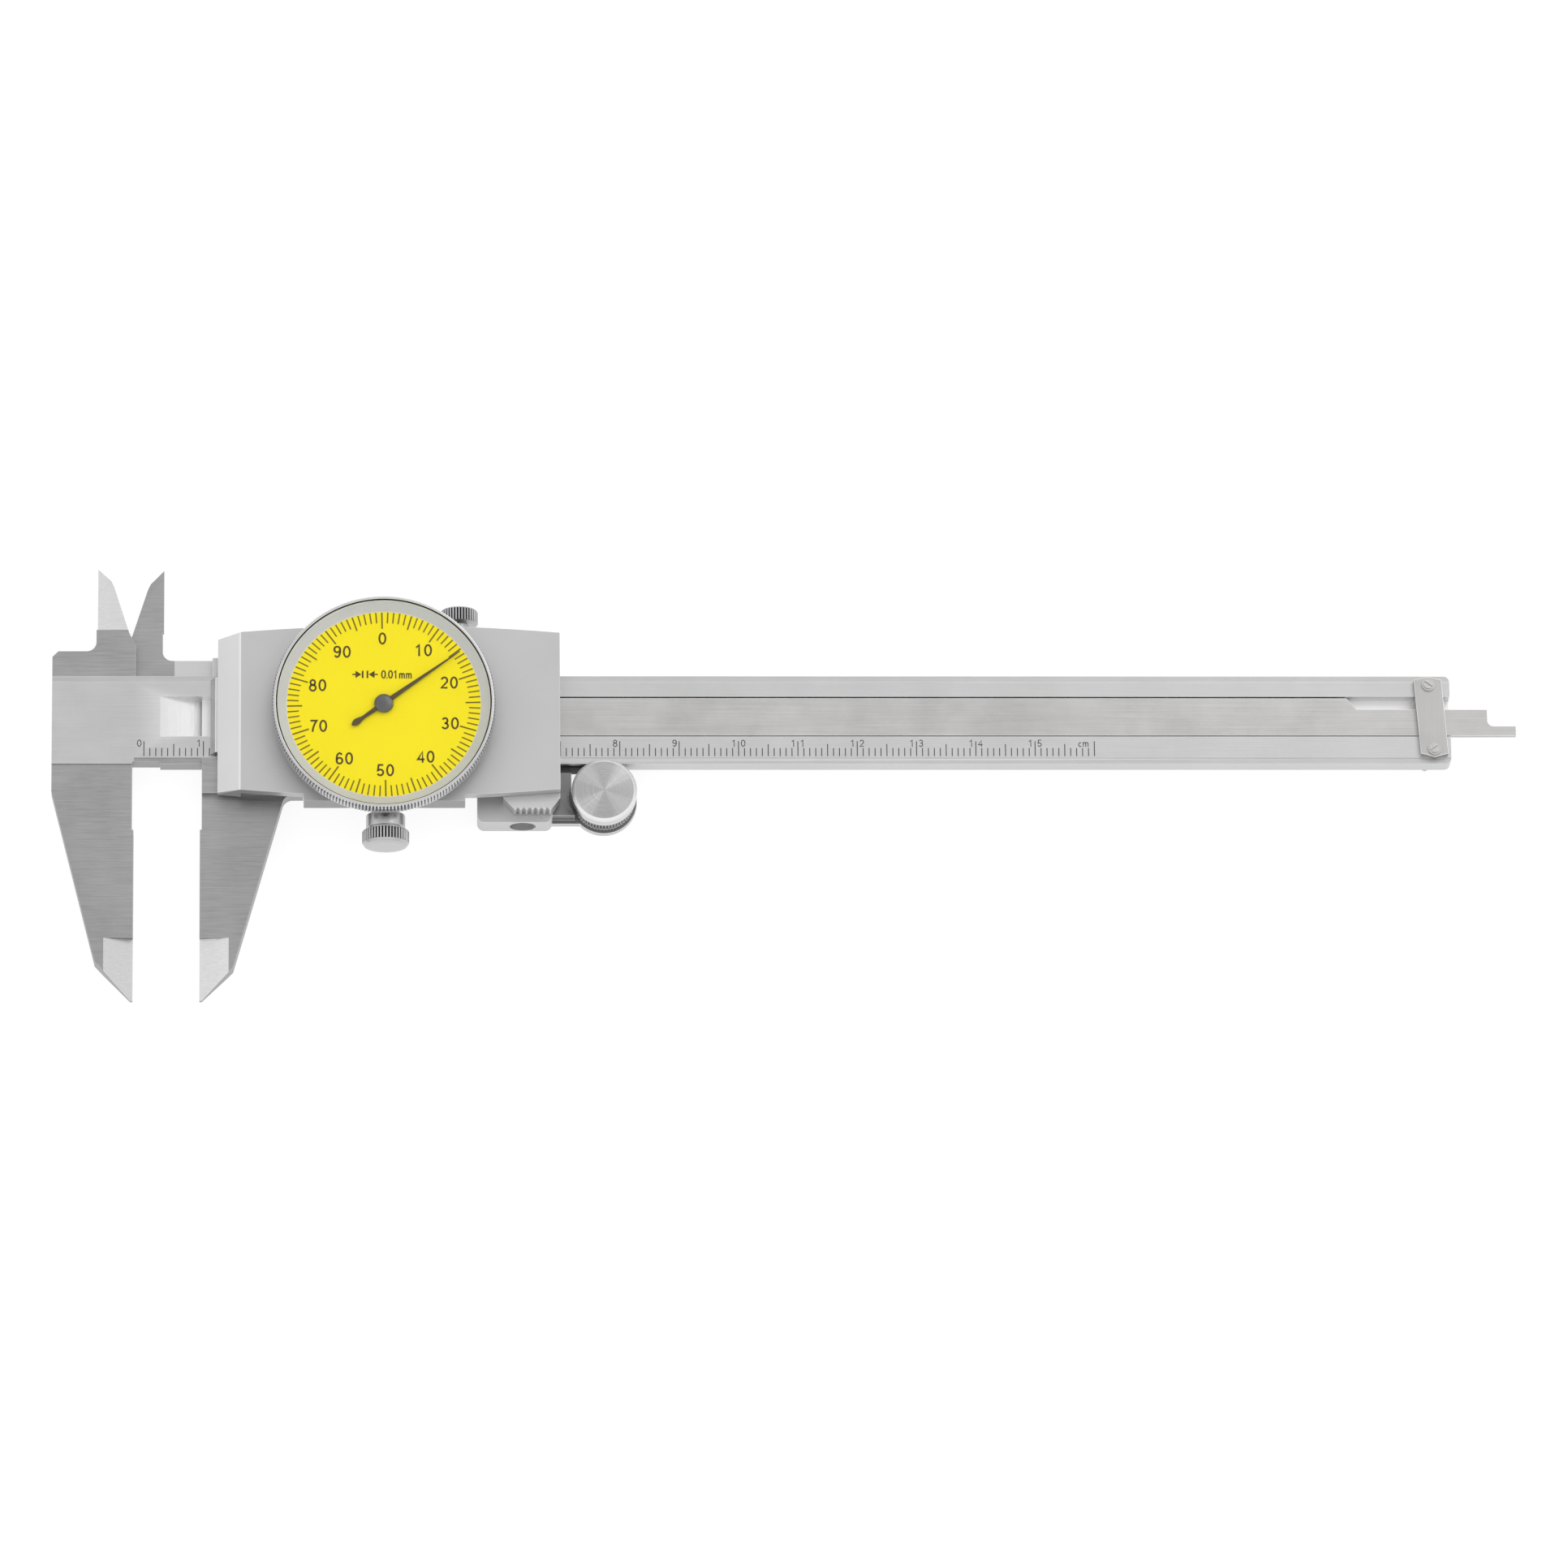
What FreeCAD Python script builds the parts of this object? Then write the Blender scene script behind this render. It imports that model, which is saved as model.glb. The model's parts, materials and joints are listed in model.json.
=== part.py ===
"""Dial caliper, 150 mm, built as a parametric document of separate pieces.

Working directions: X runs along the beam from the fixed measuring face to the rod's tip,
Y runs from the outside jaws to the inside jaws, and Z rises from the rest plane under the slider
to the dial. Pieces of the slider are drawn with the jaws closed and moved by the opening.
"""

import FreeCAD, Part
import math
import os

import Sketcher

# Driving dimensions, millimetres and degrees, under the alias that the sheet gives each of them.
SIZES = {
    # how far the jaws stand open, and where the hand then points
    "opening": 11.15,
    "pointer_turn": 54.6,
    # beam, drawn from the fixed measuring face
    "beam_start": 13.8,
    "beam_end": 222.0,
    "beam_width": 15.5,
    "beam_thick": 3.5,
    "beam_corner": 1.0,
    "band_width": 1.05,
    "band_drop": 0.15,
    "channel_top": 4.09,
    "channel_bottom": 2.94,
    "channel_depth": 2.4,
    "channel_start": 4.4,
    "channel_ramp": 7.0,
    "notch_depth": 0.4,
    # outside jaws
    "jaw_drop": 0.25,
    "jaw_straight": 12.5,
    "jaw_neck": 6.4,
    "jaw_taper_end": 42.3,
    "jaw_tip": 48.9,
    "tip_flat": 0.4,
    "jaw_relief": 0.3,
    "jaw_relief_end": 19.3,
    "knife_start": 38.2,
    "knife_width": 4.9,
    "knife_cut": 1.2,
    "moving_jaw_width": 14.2,
    "moving_jaw_neck": 5.65,
    "moving_jaw_taper_end": 43.4,
    # inside jaws, which cross each other in two layers
    "split_gap": 0.05,
    "inside_edge": 6.2,
    "inside_relief": 0.2,
    "inside_tip": 27.0,
    "inside_tip_width": 2.3,
    "inside_tip_drop": 2.4,
    "inside_shoulder": 2.8,
    "inside_shoulder_drop": 3.5,
    "inside_neck": 5.35,
    "inside_neck_height": 15.4,
    "inside_root": 6.5,
    "inside_root_height": 13.0,
    "inside_block": 12.2,
    "block_chamfer": 1.0,
    "inside_land": 16.0,
    "inside_knife_width": 2.0,
    "inside_knife_cut": 0.7,
    "inside_foot_round": 1.6,
    "inside_arm_right": 3.95,
    "wing_left": 2.0,
    # rack and the gear train that turns the hand once in a millimetre
    "rack_pitch": 1.25,
    "rack_start": 34.5,
    "rack_end": 190.7,
    "rack_height": 1.1,
    "rack_back_clear": 0.04,
    "rack_screw_inset": 4.0,
    "rack_screw_rise": 0.23,
    "rack_screw_head": 0.7,
    "rack_screw_extra": 0.6,
    "pinion_teeth": 8,
    "train_module": 0.2,
    "wheel_teeth": 60,
    "centre_teeth": 6,
    "takeup_teeth": 36,
    "wheel_level": 2.3,
    "wheel_thick": 0.5,
    "takeup_level": 3.0,
    "takeup_thick": 0.4,
    "pivot_round": 0.3,
    "pivot_clear": 0.02,
    "end_shake": 0.05,
    "arbor_round": 0.38,
    "drive_journal": 0.7,
    "drive_upper": 0.55,
    "centre_pinion_long": 1.7,
    "lower_jewel_round": 1.2,
    "jewel_round": 0.8,
    # depth rod
    "rod_start": 42.85,
    "rod_tip": 221.95,
    "rod_thick": 1.05,
    "rod_sink": 0.15,
    "rod_clear": 0.2,
    "rod_shoulder": 193.35,
    "rod_shoulder_slant": 1.7,
    "rod_waist": 1.9,
    "rod_nose": 4.8,
    "rod_nose_height": -1.03,
    "rod_nose_round": 1.0,
    "rod_pad": 14.0,
    # keeper plate at the end of the beam
    "plate_start": 216.8,
    "plate_width": 4.7,
    "plate_top": 7.3,
    "plate_bottom": 6.9,
    "plate_thick": 1.2,
    "plate_crown": 0.6,
    "plate_screw_top": 5.8,
    "plate_screw_bottom": 5.5,
    "plate_screw_grip": 1.2,
    "stop_pin_place": 217.8,
    "stop_pin_height": 6.6,
    "stop_pin_head": 1.2,
    "stop_pin_head_high": 0.8,
    "stop_pin_round": 0.6,
    # slider frame and its rear plate
    "slide_clear": 0.04,
    "back_plate_thick": 1.8,
    "rail_left": 2.95,
    "rail_right": 60.45,
    "rail_high": 0.85,
    "lower_rail": 12.2,
    "upper_rail": 12.6,
    "upper_rail_left": 11.0,
    "lip_edge": 6.9,
    "back_screw_inset": 4.0,
    "back_screw_side": 2.0,
    "back_screw_grip": 2.0,
    "jaw_root": 13.2,
    "jaw_root_width": 17.3,
    "jaw_fillet": 1.8,
    "web_left": 6.85,
    "web_window": 2.6,
    "gib_thick": 0.9,
    "gib_start": 4.4,
    "gib_length": 54.0,
    "gib_screw_first": 8.0,
    "gib_screw_last": 6.0,
    # thumb grip
    "grip_left": 50.9,
    "grip_flat_left": 52.75,
    "grip_flat_right": 58.9,
    "grip_side": 14.7,
    "grip_bottom": 16.75,
    "grip_low": 0.4,
    "grip_high": 2.9,
    "groove_pitch": 1.15,
    "groove_depth": 0.45,
    "groove_count": 6,
    # movement base with the reading edge
    "base_left": 1.75,
    "base_right": 57.85,
    "base_top": 6.9,
    "base_bottom": 6.3,
    "base_thick": 1.0,
    "base_lip": 4.9,
    "base_lip_gap": 0.1,
    "base_bevel_edge": 0.3,
    "base_bevel_width": 0.8,
    "base_screw_inset": 3.0,
    "base_screw_side": 2.0,
    # housing cover
    "cover_left": 2.95,
    "cover_ridge": 6.85,
    "cover_high": 5.0,
    "cover_rim": 3.0,
    "cover_half_left": 13.5,
    "cover_half_ridge": 13.9,
    "cover_bow": 1.1,
    "cover_taper": 0.1,
    "cover_bow_place": 32.0,
    "cover_wall": 1.3,
    "cover_top": 0.8,
    "cover_base_room": 0.3,
    "cover_foot": 12.2,
    "cover_bore": 13.7,
    "case_room": 14.6,
    "lug_left": 17.4,
    "lug_right": 44.5,
    "lug_bottom": 15.85,
    "cover_screw_ring": 15.15,
    # dial
    "dial_place": 30.85,
    "skirt_inner": 12.7,
    "skirt_outer": 13.5,
    "skirt_low": 3.0,
    "flange_low": 5.1,
    "dial_edge": 17.2,
    "case_outer": 17.85,
    "dial_level": 8.0,
    "dial_thick": 0.4,
    "dial_round": 16.25,
    "dial_hole": 0.8,
    "keeper_low": 3.2,
    "keeper_thick": 0.7,
    "keeper_outer": 14.3,
    "keeper_flats": 16,
    "press_gap": 0.02,
    "seat_gap": 0.03,
    "bezel_low": 7.4,
    "bezel_high": 10.2,
    "bezel_outer": 18.8,
    "bezel_land": 9.2,
    "bezel_lip": 18.15,
    "reflector_high": 9.65,
    "crystal_thick": 0.45,
    "hand_level": 8.85,
    "hand_thick": 0.15,
    "hand_length": 15.7,
    "hand_tail": 6.6,
    "hand_root": 0.5,
    "hand_point": 0.1,
    "tail_neck": 0.3,
    "tail_neck_place": 2.3,
    "tail_drop": 0.62,
    "tail_drop_place": 0.9,
    "hub_round": 1.55,
    "hub_high": 9.45,
    # bridge of the movement
    "bridge_level": 4.1,
    "bridge_thick": 0.8,
    "pillar_round": 0.8,
    "pillar_thread": 1.0,
    "hairspring_thick": 0.08,
    "hairspring_wide": 0.2,
    "stud_round": 0.3,
    "hairspring_level": 3.55,
    "hairspring_turns": 3,
    "hairspring_steps": 10,
    "hairspring_start": 0.8,
    "hairspring_end": 3.0,
    # lock screws
    "bezel_lock_place": 31.15,
    "bezel_lock_level": 3.0,
    "bezel_lock_tip": 14.45,
    "bezel_lock_collar": 18.75,
    "bezel_lock_head": 20.5,
    "bezel_lock_end": 23.4,
    "bezel_lock_round": 3.95,
    "bezel_lock_collar_round": 3.3,
    "slide_lock_place": 43.55,
    "slide_lock_collar": 12.75,
    "slide_lock_head": 17.2,
    "slide_lock_end": 19.9,
    "slide_lock_round": 3.2,
    "slide_lock_collar_round": 1.6,
    "lock_shank": 1.0,
    "lock_clear": 0.1,
    "head_chamfer": 0.4,
    "head_ribs": 24,
    # roller and its bracket
    "bracket_left": 46.55,
    "bracket_right": 59.15,
    "bracket_bottom": 18.0,
    "bracket_corner": 1.2,
    "bracket_front": 0.45,
    "bracket_hole": 2.2,
    "bracket_hole_place": 54.2,
    "bracket_hole_deep": 3.0,
    "arm_top": 9.0,
    "arm_bottom": 16.5,
    "arm_right": 63.4,
    "arm_front": 1.35,
    "arm_gap": 0.1,
    "roller_place": 67.85,
    "roller_round": 5.5,
    "roller_gap": 0.02,
    "roller_low": 3.5,
    "roller_high": 2.9,
    "roller_disc": 0.1,
    "roller_drum": 5.2,
    "roller_chamfer": 0.5,
    "roller_ribs": 36,
    "shoe_round": 5.6,
    "shoe_thick": 1.5,
    "axle_round": 1.0,
    "axle_clear": 0.04,
    "axle_drop": 0.5,
    "roller_cap": 0.4,
    "roller_room": 0.35,
    "beam_room": 0.25,
    "bracket_screw_head": 1.6,
    "bracket_socket": 1.0,
    # small round work is drawn as prisms, so that what repeats has few faces
    "small_sides": 6,
    "screw_head": 1.15,
    "screw_head_high": 0.5,
    "screw_shank": 0.6,
    "head_room": 0.05,
    "gib_screw_round": 0.75,
}


class Size:
    """A length with the sheet formula that gives it, so that a feature can be bound to it."""

    def __init__(self, value, formula):
        self.value = float(value)
        self.formula = formula

    def __add__(self, other):
        other = as_size(other)
        return Size(self.value + other.value, f"({self.formula} + {other.formula})")

    def __sub__(self, other):
        other = as_size(other)
        return Size(self.value - other.value, f"({self.formula} - {other.formula})")

    def __mul__(self, other):
        other = as_size(other)
        return Size(self.value * other.value, f"({self.formula} * {other.formula})")

    def __truediv__(self, other):
        other = as_size(other)
        return Size(self.value / other.value, f"({self.formula} / {other.formula})")

    def __neg__(self):
        return Size(-self.value, f"(0 - {self.formula})")

    def __radd__(self, other):
        return as_size(other) + self

    def __rsub__(self, other):
        return as_size(other) - self

    def __rmul__(self, other):
        return as_size(other) * self


def as_size(number):
    """Return a Size as it is, and a bare number as a Size whose formula is the number."""
    if isinstance(number, Size):
        return number
    return Size(number, f"({float(number)!r})")


class Named:
    """The driving dimensions by name, each as a Size that refers to its cell."""

    def __init__(self, values):
        for alias, value in values.items():
            setattr(self, alias, Size(value, f"sizes.{alias}"))


doc = FreeCAD.newDocument("dial_caliper")
sheet = doc.addObject("Spreadsheet::Sheet", "sizes")
for row, (alias, value) in enumerate(SIZES.items(), start=1):
    sheet.set(f"A{row}", alias)
    sheet.set(f"B{row}", str(value))
    sheet.setAlias(f"B{row}", alias)
doc.recompute()
s = Named(SIZES)
nodes = []

# Places that several pieces share, all worked out from the driving dimensions.
half_beam = s.beam_width / 2
beam_back = s.back_plate_thick + s.slide_clear
front = beam_back + s.beam_thick
middle = beam_back + s.beam_thick / 2
jaw_front = front - s.jaw_drop
rod_top = front - s.rod_sink
web_low = front + s.rod_clear / 4
rail_front = front + s.rail_high
slot_bottom = half_beam + s.slide_clear
slot_top = half_beam + s.slide_clear + s.gib_thick
shift_x = -(s.opening + s.rod_tip - s.beam_start) / 2
shift_y = (s.jaw_tip - s.inside_tip) / 2
slider_x = shift_x + s.opening
dial_x = slider_x + s.dial_place
wheel_distance = s.train_module * (s.wheel_teeth + s.centre_teeth) / 2
takeup_distance = s.train_module * (s.takeup_teeth + s.centre_teeth) / 2
wheel_place = s.dial_place + wheel_distance
roller_y = half_beam + s.roller_gap + s.roller_round
# the take-up wheel lies where a tooth of the centre pinion points, two and a half teeth on
takeup_angle = math.radians(2.5 * 360 / s.centre_teeth.value)
takeup_x = takeup_distance * math.cos(takeup_angle)
takeup_y = takeup_distance * math.sin(takeup_angle)
rack_centre = wheel_place + s.opening
pitch_line = s.rack_pitch * s.pinion_teeth / (2 * math.pi)
rack_back = s.channel_top - s.rack_back_clear
rack_floor = front - s.channel_depth
rack_screw_y = rack_back - s.rack_screw_head - s.rack_screw_rise
rack_screw_places = [
    s.rack_start + s.rack_screw_inset,
    (s.rack_start + s.rack_end) / 2,
    s.rack_end - s.rack_screw_inset,
]
rack_screw_seat = rack_floor + s.rack_height / 2
rack_screw_shank = s.rack_height / 2 + s.rack_screw_extra
plate_centre = s.plate_start + s.plate_width / 2
plate_screw_length = s.plate_thick + s.plate_screw_grip
rod_screw_y = (s.channel_top - s.channel_bottom) / 2
rod_screw_places = [s.rod_start + s.rod_pad / 4, s.rod_start + s.rod_pad * 3 / 4]
rod_screw_seat = rail_front - s.screw_head_high
base_high = rail_front + s.base_thick
bridge_high = s.bridge_level + s.bridge_thick
cover_middle = s.cover_half_ridge + s.cover_bow
dial_top = s.dial_level + s.dial_thick
back_screw_seat = s.screw_head_high + s.lock_clear
back_screw_places = [
    (s.rail_left + s.back_screw_inset, s.back_screw_side - s.lower_rail),
    (s.rail_left + s.back_screw_inset, s.upper_rail - s.back_screw_side),
    (s.rail_right - s.back_screw_inset, s.upper_rail - s.back_screw_side),
    (s.rail_right / 2, s.back_screw_side - s.lower_rail),
]
base_screw_places = [
    (s.web_left + s.base_screw_inset, s.base_top - s.base_screw_side),
    (s.web_left + s.base_screw_inset, s.base_screw_side - s.base_bottom),
    (s.base_right - s.base_screw_inset, s.base_screw_side - s.base_bottom),
    (s.base_right - s.base_screw_inset * 4, s.base_top - s.base_screw_side),
]
gib_screw_places = [s.gib_start + s.gib_screw_first, s.gib_start + s.gib_length - s.gib_screw_last]
# the cover's screws stand round the case, in the corners that the bowed sides leave
cover_screw_places = [
    (
        s.dial_place + s.cover_screw_ring * math.cos(math.radians(angle)),
        s.cover_screw_ring * math.sin(math.radians(angle)),
    )
    for angle in (48, 132, 228)
]
arbor_places = [
    (s.dial_place, as_size(0)),
    (wheel_place, as_size(0)),
    (s.dial_place + takeup_x, takeup_y),
]
# a tooth's height over and under the pitch line, in modules, and half its crest, in pitches
ADDENDUM = 0.75
DEDENDUM = 1.55
CREST = 0.11
# three pillars and the bridge they carry, from the dial's centre
pillars = [(-6.5, -3.5), (0.5, 9.0), (2.5, -9.0)]
bridge_outline = [
    (-8.0, -5.0),
    (1.6, -10.6),
    (4.4, -9.6),
    (9.4, -2.2),
    (9.4, 2.2),
    (2.4, 10.2),
    (-1.2, 10.4),
    (-7.6, 5.0),
]


def bind(item, prop, size):
    """Give a property the formula of a size."""
    item.setExpression(prop, as_size(size).formula)


def place(item, x, y, z):
    """Put a finished piece at its place, which stays bound to the sheet."""
    x, y, z = as_size(x), as_size(y), as_size(z)
    item.Placement.Base = FreeCAD.Vector(x.value, y.value, z.value)
    bind(item, "Placement.Base.x", x)
    bind(item, "Placement.Base.y", y)
    bind(item, "Placement.Base.z", z)
    nodes.append(item)


def new_body(name):
    body = doc.addObject("PartDesign::Body", name)
    body.Label = name
    return body


def new_sketch(body, name, plane, level):
    """An empty sketch on one of the body's own planes, moved along that plane's normal."""
    level = as_size(level)
    support = [item for item in body.Origin.OriginFeatures if item.Role == plane + "_Plane"][0]
    sketch = body.newObject("Sketcher::SketchObject", name)
    sketch.AttachmentSupport = [(support, "")]
    sketch.MapMode = "FlatFace"
    sketch.AttachmentOffset = FreeCAD.Placement(FreeCAD.Vector(0, 0, level.value), FreeCAD.Rotation())
    bind(sketch, "AttachmentOffset.Base.z", level)
    return sketch


def tie_point(sketch, geometry, end, x, y):
    """Hold one point of a sketch at the named distances from the sketch's origin."""
    for kind, size in (("DistanceX", as_size(x)), ("DistanceY", as_size(y))):
        number = sketch.addConstraint(Sketcher.Constraint(kind, -1, 1, geometry, end, size.value))
        sketch.setExpression(f"Constraints[{number}]", size.formula)


def add_outline(sketch, points):
    """Draw a closed outline of straight lines through the named points."""
    corners = [FreeCAD.Vector(as_size(x).value, as_size(y).value, 0) for x, y in points]
    count, first = len(corners), sketch.GeometryCount
    lines = [Part.LineSegment(corners[i], corners[(i + 1) % count]) for i in range(count)]
    sketch.addGeometry(lines, False)
    for i in range(count):
        after = first + (i + 1) % count
        sketch.addConstraint(Sketcher.Constraint("Coincident", first + i, 2, after, 1))
    for i, (x, y) in enumerate(points):
        tie_point(sketch, first + i, 1, x, y)


def polygon(body, name, points, level=0, plane="XY"):
    """A sketch of one closed outline through the named points."""
    sketch = new_sketch(body, name, plane, level)
    add_outline(sketch, points)
    return sketch


def rectangle(body, name, x0, y0, x1, y1, level=0, plane="XY"):
    return polygon(body, name, [(x0, y0), (x1, y0), (x1, y1), (x0, y1)], level, plane)


def circles(body, name, rounds, level=0, plane="XY"):
    """A sketch of circles, each given as x, y and radius."""
    sketch = new_sketch(body, name, plane, level)
    for x, y, radius in rounds:
        x, y, radius = as_size(x), as_size(y), as_size(radius)
        centre = FreeCAD.Vector(x.value, y.value, 0)
        number = sketch.addGeometry(Part.Circle(centre, FreeCAD.Vector(0, 0, 1), radius.value), False)
        tie_point(sketch, number, 3, x, y)
        held = sketch.addConstraint(Sketcher.Constraint("Radius", number, radius.value))
        sketch.setExpression(f"Constraints[{held}]", radius.formula)
    return sketch


def small_round(radius, hole=False, sides=s.small_sides):
    """Corners of the prism that stands for a small round, as steps from its centre.

    A pin has its corners on the radius and a hole has its flats there, so the one fits in the other.
    """
    count = int(as_size(sides).value)
    reach = as_size(radius)
    if hole:
        reach = reach / math.cos(math.pi / count)
    turns = [(number + 0.5) * 2 * math.pi / count for number in range(count)]
    return [(reach * math.cos(turn), reach * math.sin(turn)) for turn in turns]


def small_holes(body, name, rounds, level=0, plane="XY"):
    """A sketch of small holes, each given as x, y and radius."""
    sketch = new_sketch(body, name, plane, level)
    for x, y, radius in rounds:
        corners = small_round(radius, hole=True)
        add_outline(sketch, [(x + dx, y + dy) for dx, dy in corners])
    return sketch


def pad(body, sketch, length, reverse=False):
    """Raise a sketch along its plane's normal, or against it."""
    feature = body.newObject("PartDesign::Pad", sketch.Label + "_pad")
    feature.Profile = (sketch, [""])
    feature.Reversed = reverse
    feature.Length = as_size(length).value
    bind(feature, "Length", length)
    return feature


def pocket(body, sketch, depth, reverse=False):
    """Cut a sketch against its plane's normal, or along it, and make sure that it cuts."""
    doc.recompute()
    before = body.Shape.Volume
    feature = body.newObject("PartDesign::Pocket", sketch.Label + "_cut")
    feature.Profile = (sketch, [""])
    feature.Reversed = reverse
    feature.Length = as_size(depth).value
    bind(feature, "Length", depth)
    doc.recompute()
    if body.Shape.Volume >= before - 1e-6:
        raise RuntimeError(f"{sketch.Label} cuts nothing")
    return feature


def spin(body, sketch, axis="V_Axis"):
    """Turn a profile a full turn about one axis of its sketch."""
    feature = body.newObject("PartDesign::Revolution", sketch.Label + "_spin")
    feature.Profile = (sketch, [""])
    feature.ReferenceAxis = (sketch, [axis])
    feature.Angle = 360
    return feature


def upright_edges(shape, places):
    """Names of the edges that stand along Z at the given places."""
    found = []
    for number, edge in enumerate(shape.Edges, start=1):
        if len(edge.Vertexes) != 2 or not isinstance(edge.Curve, Part.Line):
            continue
        low, high = (vertex.Point for vertex in edge.Vertexes)
        for x, y in places:
            x, y = as_size(x).value, as_size(y).value
            here = all(abs(end.x - x) < 1e-4 and abs(end.y - y) < 1e-4 for end in (low, high))
            if here and abs(high.z - low.z) > 1e-3:
                found.append(f"Edge{number}")
    return found


def round_corners(body, name, places, radius):
    """Round the upright edges at the given places."""
    doc.recompute()
    before = body.Tip
    edges = upright_edges(before.Shape, places)
    if not edges:
        raise RuntimeError(f"{name} finds no edge")
    feature = body.newObject("PartDesign::Fillet", name)
    feature.Base = (before, edges)
    feature.Radius = as_size(radius).value
    bind(feature, "Radius", radius)
    doc.recompute()
    return feature


def chamfer_rim(body, name, axis, level, size):
    """Chamfer every edge that lies at one level along an axis."""
    doc.recompute()
    before = body.Tip
    edges = [
        f"Edge{number}"
        for number, edge in enumerate(before.Shape.Edges, start=1)
        if all(abs(getattr(vertex.Point, axis) - level.value) < 1e-4 for vertex in edge.Vertexes)
    ]
    feature = body.newObject("PartDesign::Chamfer", name)
    feature.Base = (before, edges)
    feature.Size = size.value
    bind(feature, "Size", size)
    doc.recompute()


def knife(body, name, edge, inward, width, face, cut, start, length):
    """Bevel a jaw towards its measuring edge: a long wedge cut from one face.

    inward is 1 where the jaw lies on the +X side of the edge, and cut is negative on a front face.
    """
    sketch = polygon(
        body,
        name,
        [
            (edge + inward * width, face),
            (edge, face + cut),
            (edge - inward * width, face + cut),
            (edge - inward * width, face),
        ],
        -start,
        "XZ",
    )
    pocket(body, sketch, length)


def ring(name, profile, x, y, z):
    """A turned piece: its profile is a list of radius and height, spun about Z."""
    body = new_body(name)
    spin(body, polygon(body, name + "_profile", profile, 0, "XZ"))
    place(body, x, y, z)
    return body


def shape_piece(name, shape, x, y, z):
    """A piece whose shape is made by a loop, put at its place."""
    piece = doc.addObject("Part::Feature", name)
    piece.Label = name
    piece.Shape = shape
    place(piece, x, y, z)
    return piece


def rod(radius, low, high, hole=False):
    """A small round length along Z, from one level to another, as a pin or as the tool for a hole."""
    low, high = as_size(low), as_size(high)
    corners = [FreeCAD.Vector(x.value, y.value, low.value) for x, y in small_round(radius, hole)]
    face = Part.Face(Part.makePolygon(corners + corners[:1]))
    return face.extrude(FreeCAD.Vector(0, 0, (high - low).value))


def screws(name, places, seat, length, head=s.screw_head, face_down=False, x=slider_x, y=shift_y, z=0):
    """Screws along Z, their heads on the seat plane and their shanks below it, as one piece."""
    made = []
    for spot in places:
        screw = rod(head, 0, s.screw_head_high).fuse(rod(s.screw_shank, -length, 0))
        if face_down:
            screw.rotate(FreeCAD.Vector(0, 0, 0), FreeCAD.Vector(1, 0, 0), 180)
        spot_x, spot_y = (as_size(step).value for step in spot)
        screw.translate(FreeCAD.Vector(spot_x, spot_y, seat.value))
        made.append(screw)
    shape_piece(name, Part.makeCompound(made), x, y, z)


def toothed(teeth, pitch_round, module, turn):
    """Angles and radii of a wheel with flat-topped teeth and sharp gaps, the first tooth at turn."""
    step = 2 * math.pi / teeth
    tip, root = pitch_round + ADDENDUM * module, pitch_round - DEDENDUM * module
    spots = []
    for number in range(teeth):
        middle_angle = turn + number * step
        spots += [
            (middle_angle - CREST * step, tip),
            (middle_angle + CREST * step, tip),
            (middle_angle + step / 2, root),
        ]
    return spots


def gear(teeth, module, thick, turn, level, bore=None):
    """A spur wheel as a prism, with a tooth pointing at turn."""
    outline = [
        FreeCAD.Vector(radius * math.cos(angle), radius * math.sin(angle), level)
        for angle, radius in toothed(teeth, module * teeth / 2, module, turn)
    ]
    face = Part.Face(Part.makePolygon(outline + outline[:1]))
    wheel = face.extrude(FreeCAD.Vector(0, 0, thick))
    if bore:
        wheel = wheel.cut(rod(bore, level, level + thick, hole=True))
    return wheel


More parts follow.
